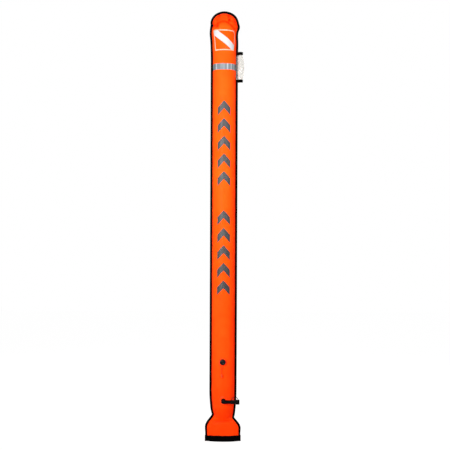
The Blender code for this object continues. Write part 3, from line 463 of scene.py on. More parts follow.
tube = {"length": 1800, "radius": 46.4, "crownHalf": 49.3, "crownRise": 44.8, "crownPower": 0.91,
        "neckHalf": 38.2, "mouthHalf": 64.4, "mouthDepth": 16, "flare": 57, "neck": 108.5,
        "neckSkew": 6.5, "flareSkew": 2.5, "barrel": 215, "roundLow": 76, "roundHigh": 153,
        "lensPower": 1.5, "fabric": 0.8, "seamGap": 0.15, "seamWidth": 8, "fit": 0.3,
        "rimLift": 1, "columns": 112}
tape = {"thick": 0.9, "inset": 1.2, "half": 2.15, "out": 9.2, "swell": 1.4, "notch": 4,
        "notchZ": 1741, "seam": 3.2, "crown": 0.7, "middle": 1.6, "peak": 1.2}
hem = {"height": 25, "thick": 1.3, "innerHalf": 58, "skip": 22.5, "rows": (3.4, 20.6)}
crownZ = tube["length"] - tube["crownRise"] - tape["out"]
quarter = tube["radius"] * np.pi / 2       # along the cloth from the middle to the seam
valveSpot = (-1.5, 338)
inflatorSpot = (2, 177.3)


def smoothStep(t):
    t = np.clip(t, 0, 1)
    return t * t * (3 - 2 * t)


def hump(z, centre, width):
    return np.exp(-(((z - centre) / width) ** 2))


def window(t, low, high, lowRun, highRun):
    # 1 between low and high, fading inwards from both over these lengths
    return smoothStep((t - low) / lowRun) * smoothStep((high - t) / highRun)


def pucker(z, side):
    # the gathered edge tape lets the shoulders out and pulls them in, unlike on each side, and
    # pinches the neck
    z = np.asarray(z, dtype=float)
    below = tube["length"] - z
    left = 2.3 * hump(below, 92, 24) - 1.6 * hump(below, 56, 9) - 2.6 * hump(z, 108, 17)
    right = 4.9 * hump(below, 65, 13) - 2.6 * hump(below, 100, 26) - 1.8 * hump(z, 97, 9)
    return np.where(np.asarray(side) < 0, left, right)


def seamHalf(z, side):
    # half width to the weld: a smooth flare from the mouth in to the neck, then out to the
    # barrel along a curve that eases off, a small swell before the crown, and the puckers
    z = np.asarray(z, dtype=float)
    neck = tube["neck"] - np.sign(side) * tube["neckSkew"]
    low = tube["flare"] - np.sign(side) * tube["flareSkew"]
    flare = tube["mouthHalf"] + (tube["neckHalf"] - tube["mouthHalf"]) * smoothStep(
        (z - low) / (neck - low))
    ease = 1 - (1 - np.clip((z - neck) / (tube["barrel"] - neck), 0, 1)) ** 2
    barrel = tube["neckHalf"] + (tube["radius"] - tube["neckHalf"]) * ease
    swell = (tube["crownHalf"] - tube["radius"]) * smoothStep((z - crownZ + 150) / 130)
    return np.where(z < neck, flare, barrel) + swell + pucker(z, side)


def roundness(z):
    # 0 where the section is a lens, at the mouth, to 1 where it is round, in the barrel
    return smoothStep((np.asarray(z, dtype=float) - tube["roundLow"])
                      / (tube["roundHigh"] - tube["roundLow"]))


def bow(z):
    taper = 1 - 0.06 * smoothStep((z - crownZ + 90) / 90)
    return (tube["mouthDepth"] + (tube["radius"] - tube["mouthDepth"]) * roundness(z)) * taper


def lens(z):
    return tube["lensPower"] + (1 - tube["lensPower"]) * roundness(z)


def tubeRows():
    # heights, half widths on both sides, bow and lens power of every row of the cloth
    z = np.concatenate([[tube["rimLift"]], np.arange(5, 60, 5), np.arange(60, 220, 2.2),
                        np.arange(220, 1590, 12), np.arange(1590, 1700, 3),
                        np.arange(1700, crownZ - 1, 1.5), [crownZ]])
    turn = np.radians(np.linspace(0, 90, 46)[1:])
    topZ = crownZ + tube["crownRise"] * np.sin(turn) ** tube["crownPower"]
    halves = []
    for side in (-1, 1):
        top = (tube["crownHalf"] + pucker(topZ, side)) * np.cos(turn) ** tube["crownPower"]
        top[-1] = 0
        halves.append(np.concatenate([seamHalf(z, side), top]))
    bows = np.concatenate([bow(z), bow(crownZ) * np.cos(turn) ** 0.85])
    bows[-1] = 0
    powers = np.concatenate([lens(z), np.ones(len(turn))])
    return np.concatenate([z, topZ]), halves, bows, powers


heights, (leftHalf, rightHalf), rowBows, rowPowers = tubeRows()


# Creases: lines that run in from the notches of the edge. Start x and z, end x and z, depth
# (minus is a groove) and width. Each is deepest at its start and fades towards its end.
foldLines = {
    -1: [(-49, 1741, -22, 1737, -8.0, 3.2), (-36, 1731, -36, 1761, -9.0, 3.0),
         (-22, 1784, -40, 1760, -6.0, 3.2), (-33, 1761, 8, 1772, -4.6, 3.2),
         (16, 1787, 21, 1756, -9.0, 3.2), (23, 1764, 12, 1743, -8.0, 3.2),
         (22, 1766, 42, 1752, -4.4, 3.2), (47, 1719, 33, 1742, -9.0, 3.2),
         (50, 1712, 40, 1709, -3.0, 3.0), (46, 1750, 34, 1764, -4.6, 3.0),
         (-40, 116, -12, 96, -3.0, 3.2), (-38, 122, -8, 122, -1.8, 3.5),
         (-38, 130, -14, 146, -1.6, 3.5), (38, 103, 12, 92, -3.0, 3.0),
         (38, 110, 10, 114, -2.0, 3.5), (38, 118, 18, 138, -1.6, 3.5),
         (-60, 66, -30, 76, -1.0, 3.5), (60, 62, 34, 74, -1.0, 3.5)],
    1: [(-48, 1742, -18, 1746, -8.0, 3.2), (50, 1713, 24, 1716, -7.0, 3.2),
        (-20, 1788, -16, 1750, -7.5, 3.2), (26, 1786, 18, 1754, -7.0, 3.2),
        (-44, 1760, -28, 1766, -4.6, 3.0), (46, 1740, 30, 1748, -5.0, 3.0),
        (-40, 116, -14, 98, -2.8, 3.2), (-38, 124, -10, 130, -1.8, 3.5),
        (38, 103, 14, 90, -2.8, 3.0), (38, 110, 12, 120, -1.8, 3.5)],
}


def fold(across, width):
    # a crease that is steep on its upper side, where `across` is positive, and eases off below
    return hump(across, 0, width * np.where(across > 0, 1, 2.8))


def archHeight(x):
    return 1755 - 17 * ((x + 4) / 36) ** 2 + 0.8 * np.sin(x / 5)


def creases(x, arc, z, face):
    # how far the cloth stands out, in mm: the fold lines, an arch across the dome, the weld of
    # the duckbill, gathers along the seam and a slow unevenness, all flat under the fittings
    push = np.zeros(np.broadcast(x, arc, z).shape)
    for startX, startZ, endX, endZ, depth, width in foldLines[face]:
        alongX, alongZ = endX - startX, endZ - startZ
        span = np.hypot(alongX, alongZ)
        run = ((x - startX) * alongX + (z - startZ) * alongZ) / span
        across = ((z - startZ) * alongX - (x - startX) * alongZ) / span
        across = across * (1 if alongX + alongZ > 0 else -1)
        share = np.clip(run / span, 0, 1)
        beyond = hump(run - share * span, 0, width)
        push += depth * (1 - share) ** 0.7 * beyond * fold(across, width * (0.8 + 0.5 * share))
    push -= 7 * window(x, -44, 48, 8, 8) * fold(z - archHeight(x), 3)
    weldZ = 84.5 + 0.6 * np.sin(x / 13)
    push -= 4.5 * smoothStep((46 - abs(x)) / 12) * fold(z - weldZ, 2.4)
    edge = quarter - abs(arc)
    phase = z / 4.3 + 2.2 * np.sin(z / 41 + np.sign(arc)) + 1.7 * np.sign(arc) + face
    push += 0.4 * hump(edge, 0, 11) * np.sin(phase) * (0.6 + 0.4 * np.sin(z / 67 + face))
    push += 0.3 * hump(edge, 16, 12) * np.sin(z / 27 + 1.4 * np.sin(z / 90) + np.sign(arc))
    push += 0.12 * np.sin(z / 58 + 1.3 * np.sin(arc / 31)) * np.cos(arc / 27 + z / 190 + face)
    push -= tape["notch"] * 1.3 * hump(edge, 4, 5) * hump(z, tape["notchZ"], 5) * (x < 0)
    keep = smoothStep(edge / 2.5) * smoothStep((z - 27) / 12)
    keep *= smoothStep((crownZ + tube["crownRise"] - z) / 3)
    if face < 0:
        for spotX, spotZ in (valveSpot, inflatorSpot):
            keep = keep * smoothStep((np.hypot(arc - spotX, z - spotZ) - 18.6) / 6)
    return push * keep


def gridNormals(points, towards):
    # unit normals of a grid from its two slopes, turned to one side
    normal = np.cross(np.gradient(points, axis=0), np.gradient(points, axis=1))
    size = np.linalg.norm(normal, axis=-1, keepdims=True)
    normal = np.where(size > 1e-9, normal / np.maximum(size, 1e-9), (0, 0, 1))
    flip = np.sign((normal * towards).sum(axis=-1, keepdims=True))
    return normal * np.where(flip == 0, 1, flip)


def seamFrames(half, side):
    # seam points in the XZ plane and the outward normal of that line
    x = side * half
    dx, dz = np.gradient(x), np.gradient(heights)
    dx[-1], dz[-1] = -side, 0
    return x, unit(stacked(dz, -dx) * side)


def clothGrid(face):
    # inner face of one panel: x is the half width times the cosine of an angle, the depth is
    # the bow times its sine to the lens power, and the creases push along the normals
    angle = np.radians(np.linspace(180, 0, tube["columns"] + 1))
    wave, rise = np.cos(angle), np.sin(angle)
    rise[[0, -1]] = 0
    z = np.repeat(heights[:, None], len(angle), axis=1)
    x = np.where(wave < 0, leftHalf[:, None], rightHalf[:, None]) * wave
    depth = tube["seamGap"] + rowBows[:, None] * rise ** rowPowers[:, None]
    points = stacked(x, face * depth, z)
    arc = np.broadcast_to((np.pi / 2 - angle) * tube["radius"], z.shape)
    normal = gridNormals(points, np.array([0, face, 0]))
    push = creases(x, arc, z, face)
    points = points + push[..., None] * normal
    # painted shade for the material, from 0 to 1: the crown of the dome darker from 1727 mm up
    # and above the arch, fine stripes of it near the top, and the deeper creases darker
    crown = 0.26 * smoothStep((z - 1727) / 14) + 0.1 * smoothStep((z - archHeight(x)) / 5)
    crumpleShade = 0.06 * np.sin(z / 2.3 + 2 * np.sin(x / 9)) * smoothStep((z - 1735) / 15)
    paintedShade = 0.42 * np.clip(-push / 6.5 - 0.06, 0, 1) ** 1.4
    return points, normal, arc, z, crown + crumpleShade + paintedShade


clothFaces = {face: clothGrid(face) for face in (-1, 1)}


def onCloth(face, arc, z, lift):
    # points `lift` above the outer face of a panel, at a distance round it and a height, mixed
    # from the four nearest points of its grid
    points, normal = clothFaces[face][:2]
    outer = points + (tube["fabric"] + lift) * normal
    row = np.interp(z, heights, np.arange(len(heights)))
    column = (arc / (tube["radius"] + tube["fabric"]) / np.pi + 0.5) * tube["columns"]
    low = np.clip(row.astype(int), 0, len(heights) - 2)
    left = np.clip(column.astype(int), 0, tube["columns"] - 1)
    a, b = (row - low)[..., None], (column - left)[..., None]
    return ((1 - a) * (1 - b) * outer[low, left] + (1 - a) * b * outer[low, left + 1]
            + a * (1 - b) * outer[low + 1, left] + a * b * outer[low + 1, left + 1])


fittingHole = 8.55, 38, 56      # radius, and the depths between which the cloth is cut


def makePanel(name, face, node, holes=()):
    grid, _, arc, z, paintedShade = clothFaces[face]
    points = np.zeros((len(heights), tube["columns"] + 3, 3))
    points[:, 1:-1] = grid
    for column, half, side in ((0, leftHalf, -1), (-1, rightHalf, 1)):
        seamX, normal = seamFrames(half, side)
        weld = tube["seamWidth"] * normal
        points[:, column] = stacked(seamX + weld[:, 0], face * tube["seamGap"],
                                    heights + weld[:, 1])
    points[-1, :, 0] = 0
    points[0, :, 2] = tube["rimLift"]
    reach, border = quarter + tube["seamWidth"], ((0, 0), (1, 1))
    uv = stacked(np.pad(arc, border, "linear_ramp", end_values=(-reach, reach)),
                 np.pad(z, border, "edge"))
    # the cloth takes painted shade from its creases and its crown
    panel = putMesh(name, [(points, uv)], coatedNylon, towards=(0, face, 0),
                    wearAndPaintedLight=np.pad(paintedShade, border, "edge"))
    thicken(panel, tube["fabric"], even=False)
    if holes:
        carve(panel, cuts=[drill("hole", *fittingHole, coatedNylon, facingFront(*spot), 48)
                           for spot in holes])
    standIn(panel, node)


def facingFront(x, z):
    # turned pieces whose height is their depth towards the front
    return ((1, 0, 0), (0, 0, -1), (0, 1, 0)), (x, 0, z)


def makeEdgeTape():
    # the folded tape: a hairpin outline carried up the left seam, over the top and down the
    # right, with a slight ripple in its free edges, a little wider above the hem, and pulled
    # in over the cloth at one notch
    leftX, leftNormal = seamFrames(leftHalf, -1)
    rightX, rightNormal = seamFrames(rightHalf, 1)
    x = np.concatenate([leftX, rightX[-2::-1]])
    z = np.concatenate([heights, heights[-2::-1]])
    normal = np.concatenate([leftNormal, rightNormal[-2::-1]])
    inner = tape["half"] - tape["thick"]
    corners = [(tape["inset"], -tape["half"]), (tape["out"], -tape["half"]),
               (tape["out"], tape["half"]), (tape["inset"], tape["half"]),
               (tape["inset"], inner), (tape["out"] - tape["thick"], inner),
               (tape["out"] - tape["thick"], -inner), (tape["inset"], -inner)]
    outline = softOutline(corners, (0.35, 1.7, 1.7, 0.35, 0.3, 0.8, 0.8, 0.3), 6, closed=True)
    run = lengthAlong(stacked(x, z))[:, None]
    free = smoothStep((4.5 - outline[:, 0]) / 3.3)
    out = outline[:, 0] + free * 0.22 * np.sin(run / 9 + 1.5 * np.sin(run / 31))
    share = (outline[:, 0] - tape["inset"]) / (tape["out"] - tape["inset"])
    out = out + share * (tape["swell"] * smoothStep((z - 30) / 25)
                         + tape["peak"] * hump(x, -2, 14) * (z > crownZ))[:, None]
    out = out - free * tape["notch"] * (hump(z, tape["notchZ"], 4) * (x < 0))[:, None]
    out = out - free * (tape["crown"] * smoothStep((z - 1765) / 20)
                        + tape["middle"] * hump(x, 0, 10) * (z > crownZ))[:, None]
    lift = 0.1 * np.sin(run / 6.5 + 2 * np.sin(run / 47)) * (abs(outline[:, 1]) > inner + 0.2)
    depth = outline[:, 1] + lift * np.sign(outline[:, 1])
    points = stacked(x[:, None] + out * normal[:, :1], -depth,
                     z[:, None] + out * normal[:, 1:])
    points[[0, -1], :, 2] = tube["rimLift"]
    piece = putMesh("edgeTape", [(points, stacked(run, lengthAlong(outline)))], edgeWebbing,
                    close=True)
    standIn(piece, "edge_binding")
    return stacked(x + tape["seam"] * normal[:, 0], 0, z + tape["seam"] * normal[:, 1])


stitch = {"share": 0.76, "radius": 0.27, "proud": 0.3}      # share of the pitch that shows


def stitchGrid(place, course, normal, pitch):
    # lock stitches: short threads that rise out of the cloth and go back in at both ends
    length, radius = stitch["share"] * pitch, stitch["radius"]
    t = np.linspace(-1, 1, 6)[None, :, None, None]
    angle = np.linspace(0, 2 * np.pi, 7)[None, None, :, None]
    course, normal, place = (a[:, None, None] for a in (course, normal, place))
    side = np.cross(course, normal)
    fat = radius * np.sqrt(np.clip(1 - t**6, 0, 1))
    rise = stitch["proud"] * (1 - t**2) - 0.6 * radius
    rise, across = rise + fat * np.sin(angle), fat * np.cos(angle)
    return unmapped(place + course * t * length / 2 + normal * rise + side * across)


def makeStitches(name, rows):
    # rows: (path, outward normal for each stretch or one for all, pitch, two ends left bare)
    grids = []
    for path, normal, pitch, start, end in rows:
        place, course, spots = alongPath(path, pitch, start, end)
        normal = np.asarray(normal, dtype=float)
        if normal.ndim == 2:
            normal = sampleLine(normal, lengthAlong(path), spots)
        grids.append(stitchGrid(place, course, np.broadcast_to(normal, place.shape), pitch))
    piece = putMesh(name, grids, blackThread)
    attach(piece, "tube")


def offsetLine(x, y, distance):
    # open lines moved sideways, to the right of their direction, mitred at their corners
    step = unit(stacked(np.diff(x), np.diff(y)))
    side = stacked(step[..., 1], -step[..., 0])
    before = np.concatenate([side[..., :1, :], side], axis=-2)
    after = np.concatenate([side, side[..., -1:, :]], axis=-2)
    mitre = unit(before + after)
    mitre /= (mitre * after).sum(axis=-1, keepdims=True)
    return x + distance * mitre[..., 0], y + distance * mitre[..., 1]


def hemHalf(grow):
    # a quarter of the hem's plan: along the edge tape's end, then along the bowed panel
    clear = tape["half"] + tube["fit"] + grow
    end = tube["mouthHalf"] + tape["out"] + tube["fit"] + grow
    angle = np.radians(np.linspace(hem["skip"], 90, 40))
    x = tube["mouthHalf"] * np.cos(angle)
    depth = tube["seamGap"] + tube["mouthDepth"] * np.sin(angle) ** tube["lensPower"]
    x, depth = offsetLine(x, depth, tube["fabric"] + tube["fit"] + grow)
    x[-1] = 0
    curve = stacked(x, np.maximum(depth, clear))
    turn = softOutline([(end, 0), (end, clear), (end - 6, clear)], 0.9, 7)
    lead = turn[-1] + (curve[0] - turn[-1]) * np.linspace(0, 1, 8)[1:-1, None]
    return np.concatenate([turn, lead, curve])


def hemLoop(grow):
    part = hemHalf(grow)
    front = np.concatenate([part, part[-2::-1] * (-1, 1)])     # right end to left end, in front
    return np.concatenate([front, front[-2::-1] * (1, -1)]) * (1, -1)


def hemProfile(thick, radius):
    height = hem["height"]
    return softOutline([(0, 0), (thick, 0), (thick, height), (0, height)], radius, closed=True)


def makeHem():
    # webbing loop round the mouth: its edges rounded, its top edge and face a little wavy
    profile = hemProfile(hem["thick"], 0.5)
    inside, outside = hemLoop(0), hemLoop(hem["thick"])
    share = profile[:, None, :1] / hem["thick"]
    plan = inside + (outside - inside) * share
    run = lengthAlong(outside)
    level = np.clip(profile[:, 1:] / hem["height"], 0, 1)
    turns = 2 * np.pi * run / run[-1]
    wave = 0.35 * np.sin(4 * turns) + 0.25 * np.sin(10 * turns + 1)
    top = level * (wave - 1.3 * (abs(outside[:, 0]) / 75) ** 2)
    points = stacked(plan[..., 0], plan[..., 1], profile[:, 1:] + top)
    uv = stacked(run, profile[:, 1:] + profile[:, :1])
    standIn(putMesh("hemOuter", [(points, uv)], hemWebbing), "mouth_hem_outer")
    normal = unit(stacked(np.gradient(outside[:, 1]), -np.gradient(outside[:, 0])))
    normal *= np.sign((normal * outside).sum(axis=1, keepdims=True))
    makeStitches("hemStitches", [(stacked(outside[:, 0], outside[:, 1], z),
                                  np.pad(normal, ((0, 0), (0, 1))), 3.6, 0, 1)
                                 for z in hem["rows"]])


def makeHemInner(name, face, node):
    # flat webbing inside one panel at the mouth
    x = np.linspace(-hem["innerHalf"], hem["innerHalf"], 81)[:, None]
    share = np.clip(1 - (x / tube["mouthHalf"]) ** 2, 0, 1)
    outer = tube["seamGap"] + tube["mouthDepth"] * share ** (tube["lensPower"] / 2) - tube["fit"]
    profile = hemProfile(-hem["thick"], 0.4)
    top = np.clip(profile[:, 1] / hem["height"], 0, 1) * 0.5 * (np.sin(x / 9) - 1)
    points = stacked(x, face * (outer + profile[:, 0]), profile[:, 1] + top)
    uv = stacked(x, profile[:, 1] + profile[:, 0])
    standIn(putMesh(name, [(points, uv)], hemWebbing, close=True), node)


flap = {"thick": 0.5, "low": 82.5, "bend": 90, "lip": 205, "gap": 0.25, "endAngle": 11.25}


def makeFlap(name, face, node):
    # a flap that leaves the panel at its weld and closes on its twin in a flat, wavy lip
    z = np.concatenate([np.arange(flap["low"], 186, 2.2), np.linspace(187, flap["lip"], 9)])
    z = z[:, None]
    angle = np.radians(np.linspace(180 - flap["endAngle"], flap["endAngle"], 61))
    hold = 1 - smoothStep((z - flap["bend"]) / (flap["lip"] - flap["bend"]))
    half = seamHalf(z, np.cos(angle)) - tube["fit"]
    x = half * np.cos(angle)
    arc = (np.pi / 2 - angle) * tube["radius"]
    follow = tube["seamGap"] + (bow(z) - tube["fit"]) * np.sin(angle) ** lens(z)
    follow = follow + creases(x, arc, z, face) * hold * np.sin(angle)
    lip = flap["gap"] + flap["thick"]
    depth = lip + hold * (follow - lip)
    points = stacked(x, face * depth, z)
    piece = putMesh(name, [(points, stacked(arc, z))], weldFilm, towards=(0, -face, 0))
    thicken(piece, flap["thick"])
    standIn(piece, node)


band = {"low": 1551.5, "height": 26, "thick": 0.4, "endAngle": 4.5, "crease": 0.13,
        "paintedHighlight": (-35, 13, 30, 45)}


def makeBand(name, face, node):
    # a strip round the barrel from tape to tape, with fine upright creases and four painted
    # highlight stripes
    z = np.linspace(band["low"], band["low"] + band["height"], 14)[:, None]
    angle = np.radians(np.linspace(180 - band["endAngle"], band["endAngle"], 181))
    arc = (np.pi / 2 - angle) * tube["radius"]
    radius = tube["radius"] + tube["fabric"] + tube["fit"] + creases(
        tube["radius"] * np.cos(angle), arc, z, face)
    radius = radius + band["crease"] * np.sin(arc / 1.7 + 2 * np.sin(arc / 8) + z / 60)
    wave = 0.25 * np.sin(arc / 11 + face)
    depth = tube["seamGap"] + radius * np.sin(angle)
    points = stacked(radius * np.cos(angle), face * depth, z + wave)
    # painted highlight: four bright upright stripes across the band at these distances round it
    paintedHighlight = hump(arc[:, None], np.array(band["paintedHighlight"]), 2.4).max(axis=1) + 0 * z
    piece = putMesh(name, [(points, stacked(arc, z))], reflectiveTape, towards=(0, face, 0),
                    wearAndPaintedLight=paintedHighlight)
    thicken(piece, band["thick"], 0.1)
    standIn(piece, node)


# The clear pocket on the right edge, and the tape round its two ends

pocket = {"top": 1630, "height": 125, "film": 0.5, "tape": 1.0, "tapeHeight": 10.5,
          "reachMid": 27, "reachEnd": 20.5, "depthMid": 9.5, "depthEnd": 7, "leg": 6, "neck": 2}


def pocketPlan(bulge, push):
    # plan of the pocket: a leg on the front of the edge tape, a round belly out to the reach,
    # and the same behind. push moves it outwards.
    reach = pocket["reachEnd"] + (pocket["reachMid"] - pocket["reachEnd"]) * bulge
    belly = pocket["depthEnd"] + (pocket["depthMid"] - pocket["depthEnd"]) * bulge
    edge, leg = tube["radius"] + tape["out"], tape["half"] + tube["fit"]
    share = (1 - np.cos(np.linspace(0, np.pi, 37))) / 2
    depth = leg * (1 - share) + belly * np.sin(np.pi * share**0.9) ** 0.8
    depth[..., -1] = 0
    x = edge + pocket["neck"] + (reach - pocket["neck"]) * share
    foot = np.broadcast_to(edge - np.linspace(pocket["leg"], 1, 5), (*x.shape[:-1], 5))
    x = np.concatenate([foot, x], axis=-1)
    y = -np.concatenate([np.full(foot.shape, leg), depth], axis=-1)
    x = np.concatenate([x, x[..., -2::-1]], axis=-1)
    return offsetLine(x, np.concatenate([y, -y[..., -2::-1]], axis=-1), push)


def makePocketFilm():
    low = pocket["top"] - pocket["height"]
    z = np.linspace(low + 0.5, pocket["top"] - 0.5, 71)[:, None]
    inner = (z - low - 12) / (pocket["height"] - 24)
    bulge = np.sin(np.pi * np.clip(inner, 0, 1)) ** 0.8
    across = np.linspace(-1, 1, 83)
    free = smoothStep((1 - abs(across)) / 0.2) * smoothStep(abs(across) / 0.12) * window(
        z, low + 12, pocket["top"] - 12, 8, 8)
    tilt = z + 24 * across
    folds = 0.45 * np.sin(tilt / 6.1 + 1.6 * np.sin(z / 17)) + 0.35 * np.sin(
        (z - 30 * across) / 8.7 + 0.8) + 0.9 * hump(tilt, low + 78, 2.5) \
        - 0.8 * hump(z - 34 * across, low + 50, 3)
    points = stacked(*pocketPlan(bulge, folds * free), z)
    run = lengthAlong(points)
    piece = putMesh("pocketFilm", [(points, stacked(run, z))], clearVinyl, towards=(1, 0, 0))
    thicken(piece, pocket["film"], even=False)
    standIn(piece, "light_sleeve")


def makePocketTape(name, node, low, droop, lift):
    # tape round one end of the pocket. Its lower edge droops near the tube by `droop`, and
    # its outer end stands higher by `lift`.
    t = np.linspace(0, 1, 9)[:, None]
    across = np.linspace(-1, 1, 83)
    near = smoothStep((abs(across) - 0.35) / 0.6)
    z = low + pocket["tapeHeight"] * t - droop * (1 - t) * near + lift * (1 - near) * (0.4 + t)
    points = stacked(*pocketPlan(np.zeros((9, 1)), pocket["film"] + tube["fit"]), z)
    piece = putMesh(name, [(points, stacked(z, lengthAlong(points)))], edgeWebbing,
                    towards=(1, 0, 0))
    thicken(piece, pocket["tape"], 0.35)
    standIn(piece, node)


# Fittings on the front panel, each turned round its own axis

bossTop, fittingBase, hoseDepth, hoseDrop = 49.35, 51.15, 62.0, 3
sideways = ((0, 0, 1), (1, 0, 0), (0, 1, 0))
alongHose = sideways, (0, -hoseDepth, inflatorSpot[1] - hoseDrop)
patch = {"bore": 8.25, "radius": 18, "rim": 0.6, "thick": 0.9, "ridge": 0.13, "pitch": 1.2}


def fluting(amount, count, power, outside, run, *ends):
    # ribs round a turned piece, for revolve: a raised cosine to a power round the axis, only
    # where the radius is beyond `outside` and the height between the ends of a window
    def shrink(r, h, angle):
        wave = (0.5 + 0.5 * np.cos(count * angle)) ** power
        return amount * wave * smoothStep((r - outside) / run) * window(h, *ends)
    return shrink


def makePatch(name, spot, boss, node):
    # a disc on the barrel: height over the cloth is a rounded rim, fine weld rings, and a flat
    # boss in the middle
    outer, edge = patch["radius"], patch["radius"] - patch["rim"]
    r = np.concatenate([np.linspace(outer, edge, 7), np.linspace(edge - 0.1, boss + 0.6, 60),
                        np.linspace(boss + 0.5, boss - 0.3, 7),
                        np.linspace(boss - 0.6, patch["bore"], 5)])[:, None]
    angle = np.linspace(0, 2 * np.pi, 97)
    x, z = spot[0] + r * np.cos(angle), spot[1] + r * np.sin(angle)
    low = tube["seamGap"] + np.sqrt((tube["radius"] + tube["fabric"]) ** 2 - x**2) + tube["fit"]
    rim = np.sqrt(np.clip(1 - (np.clip(r - edge, 0, None) / patch["rim"]) ** 2, 0, 1))
    rings = patch["ridge"] * np.sin(2 * np.pi * r / patch["pitch"])
    high = low + patch["thick"] * rim + rings * window(r, boss + 0.6, edge - 0.1, 0.6, 0.5)
    high = high + (bossTop - high) * smoothStep((boss + 0.4 - r) / 0.6)
    loop = np.concatenate([stacked(x, -high, z), stacked(x, -low, z)[::-1]])
    loop = np.concatenate([loop, loop[:1]])
    standIn(putMesh(name, [(loop, loop[..., ::2])], weldFilm), node)


def rodSet(spots, radius, low, high):
    # straight round rods towards the front, all in one cutter
    angle = np.linspace(0, 2 * np.pi, 25)
    r = np.array([0, radius, radius, 0])[:, None]
    h = np.array([low, low, high, high])[:, None]
    x, z = np.array(spots, dtype=float)[..., None, None]
    points = stacked(x + r * np.cos(angle), -h, z + r * np.sin(angle))
    return putMesh("rods", [unmapped(points)], blackPlastic)


cap = {"radius": 12.5, "low": 53.25, "shoulder": 57.75, "roof": 61.35, "crown": 62.65,
       "dome": 7.3, "wall": 1.3, "ribs": 36, "ventRing": 8.3, "vent": 1.3, "vents": 8,
       "slot": (1.2, -3, 4.5)}


def makeValveCap():
    # a domed cap: a quarter ellipse from the skirt to a slightly domed top with a ring groove,
    # ribs round the skirt, vents, and a slot below for the cord
    turn = np.radians(np.linspace(0, 90, 12))
    dome, inner = cap["dome"], cap["radius"] - cap["wall"]
    outside, inside = [
        stacked(dome + (side - dome) * np.cos(turn),
                cap["shoulder"] + (high - cap["shoulder"]) * np.sin(turn))
        for side, high in ((cap["radius"], cap["crown"]), (inner, cap["roof"]))]
    top = np.linspace(dome - 0.4, 0, 20)
    crown = cap["crown"] + 0.35 * (1 - (top / dome) ** 2) - 0.3 * hump(top, 5.2, 0.45)
    skirt = [(inner, cap["low"]), (cap["radius"] - 0.4, cap["low"]),
             (cap["radius"], cap["low"] + 0.4), (cap["radius"], cap["shoulder"] - 0.6)]
    corners = np.concatenate([[(0, cap["roof"])], inside[::-1], skirt, outside,
                              stacked(top, crown)])
    ribbing = fluting(0.024, cap["ribs"], 3, 12, 0.2, cap["low"] + 0.5, cap["shoulder"] + 0.6,
                      0.5, 0.8)
    piece = revolve("valveCap", corners, glossPlastic, facingFront(*valveSpot), 0.15, 288,
                    ribbing, steps=3)
    angle = 2 * np.pi * (np.arange(cap["vents"]) + 0.5) / cap["vents"]
    vents = rodSet((valveSpot[0] + cap["ventRing"] * np.cos(angle),
                    valveSpot[1] + cap["ventRing"] * np.sin(angle)),
                   cap["vent"], cap["roof"] - 4, cap["roof"] + 4)
    slot = drill("slot", *cap["slot"], blackPlastic,
                 (np.eye(3), (cord["x"], -cord["depth"], valveSpot[1] - cap["radius"])), 24)
    carve(piece, cuts=[vents, slot], sharp=32)
    standIn(piece, "valve_cap")


cord = {"x": -5.1, "depth": 57.15, "top": 329.81, "end": 279.33, "exit": 326.03, "hang": 38,
        "sway": 0.7, "radius": 0.8, "toggleTop": 288.03, "toggleRadius": 3.4}


def makePullCord():
    # a thin braided cord from inside the cap down into its toggle: a round section with two
    # crossing twists of low bumps, carried along the CAD cord's own route
    z = np.linspace(cord["top"], cord["end"], 141)
    below = np.clip((cord["exit"] - z) / cord["hang"], 0, 1)
    x = cord["x"] - cord["sway"] * np.sin(np.pi * below) ** 2
    path = stacked(x, -cord["depth"], z)
    run = lengthAlong(path)[:, None]
    angle = np.linspace(0, 2 * np.pi, 25)
    bumps = np.sin(2 * angle + run * 1.6) * np.sin(2 * angle - run * 1.6)
    radius = cord["radius"] * (0.96 + 0.06 * bumps)
    radius[[0, -1]] = 0
    points = path[:, None] + stacked(radius * np.cos(angle), radius * np.sin(angle), 0)
    piece = putMesh("pullCord", [(points, stacked(angle, run))], cordYarn, close=True)
    standIn(piece, "pull_cord")
    top, r = cord["toggleTop"], cord["toggleRadius"]
    corners = [(0, top - 13), (2.2, top - 13), (r, top - 11.4), (r, top - 8.6),
               (r - 0.5, top - 8.2), (r - 0.5, top - 7.4), (r, top - 7), (r, top - 2.2),
               (2.0, top), (1.1, top), (1.1, top - 9), (0, top - 9)]
    toggle = revolve("pullToggle", corners, orangePlastic,
                     (np.eye(3), (cord["x"], -cord["depth"], 0)), 0.35, 48)
    standIn(toggle, "pull_toggle")


elbow = {"housing": 9.1, "stub": 8.1, "flange": 9.9, "bore": 4}


def makeElbow():
    # an upright domed housing and a barbed side stub, moulded in one, hollow through both
    place = facingFront(*inflatorSpot)
    turn = np.radians(np.linspace(0, 90, 14))
    house, stub, flange = elbow["housing"], elbow["stub"], elbow["flange"]
    dome = stacked(house * np.cos(turn), hoseDepth + house * np.sin(turn))
    ball = stacked(stub * np.cos(turn), 1 - stub * np.sin(turn))[:0:-1]
    piece = revolve("inflatorElbow", [
        (0, 41.15), (7.8, 41.15), (7.8, fittingBase), (flange, fittingBase), (flange, 52.6),
        (9.3, 53.1), (house, 54), *dome], blackPlastic, place, 0.35, 72, steps=4)
    branch = revolve("stub", [
        *ball, (stub, 1), (stub, 8.4), (8.5, 8.8), (8.5, 10.7), (stub, 11.1), (5.3, 11.1),
        (5.3, 21.4), (4.5, 22.9), (0, 22.9)], blackPlastic, alongHose, 0.3, 64, steps=4)
    back = drill("bore", elbow["bore"], 40, hoseDepth + 0.7, blackPlastic, place, 44)
    side = drill("bore", elbow["bore"], -2.5, 24, blackPlastic, alongHose, 40)
    carve(piece, [branch], [back, side], sharp=32)
    standIn(piece, "inflator_elbow")


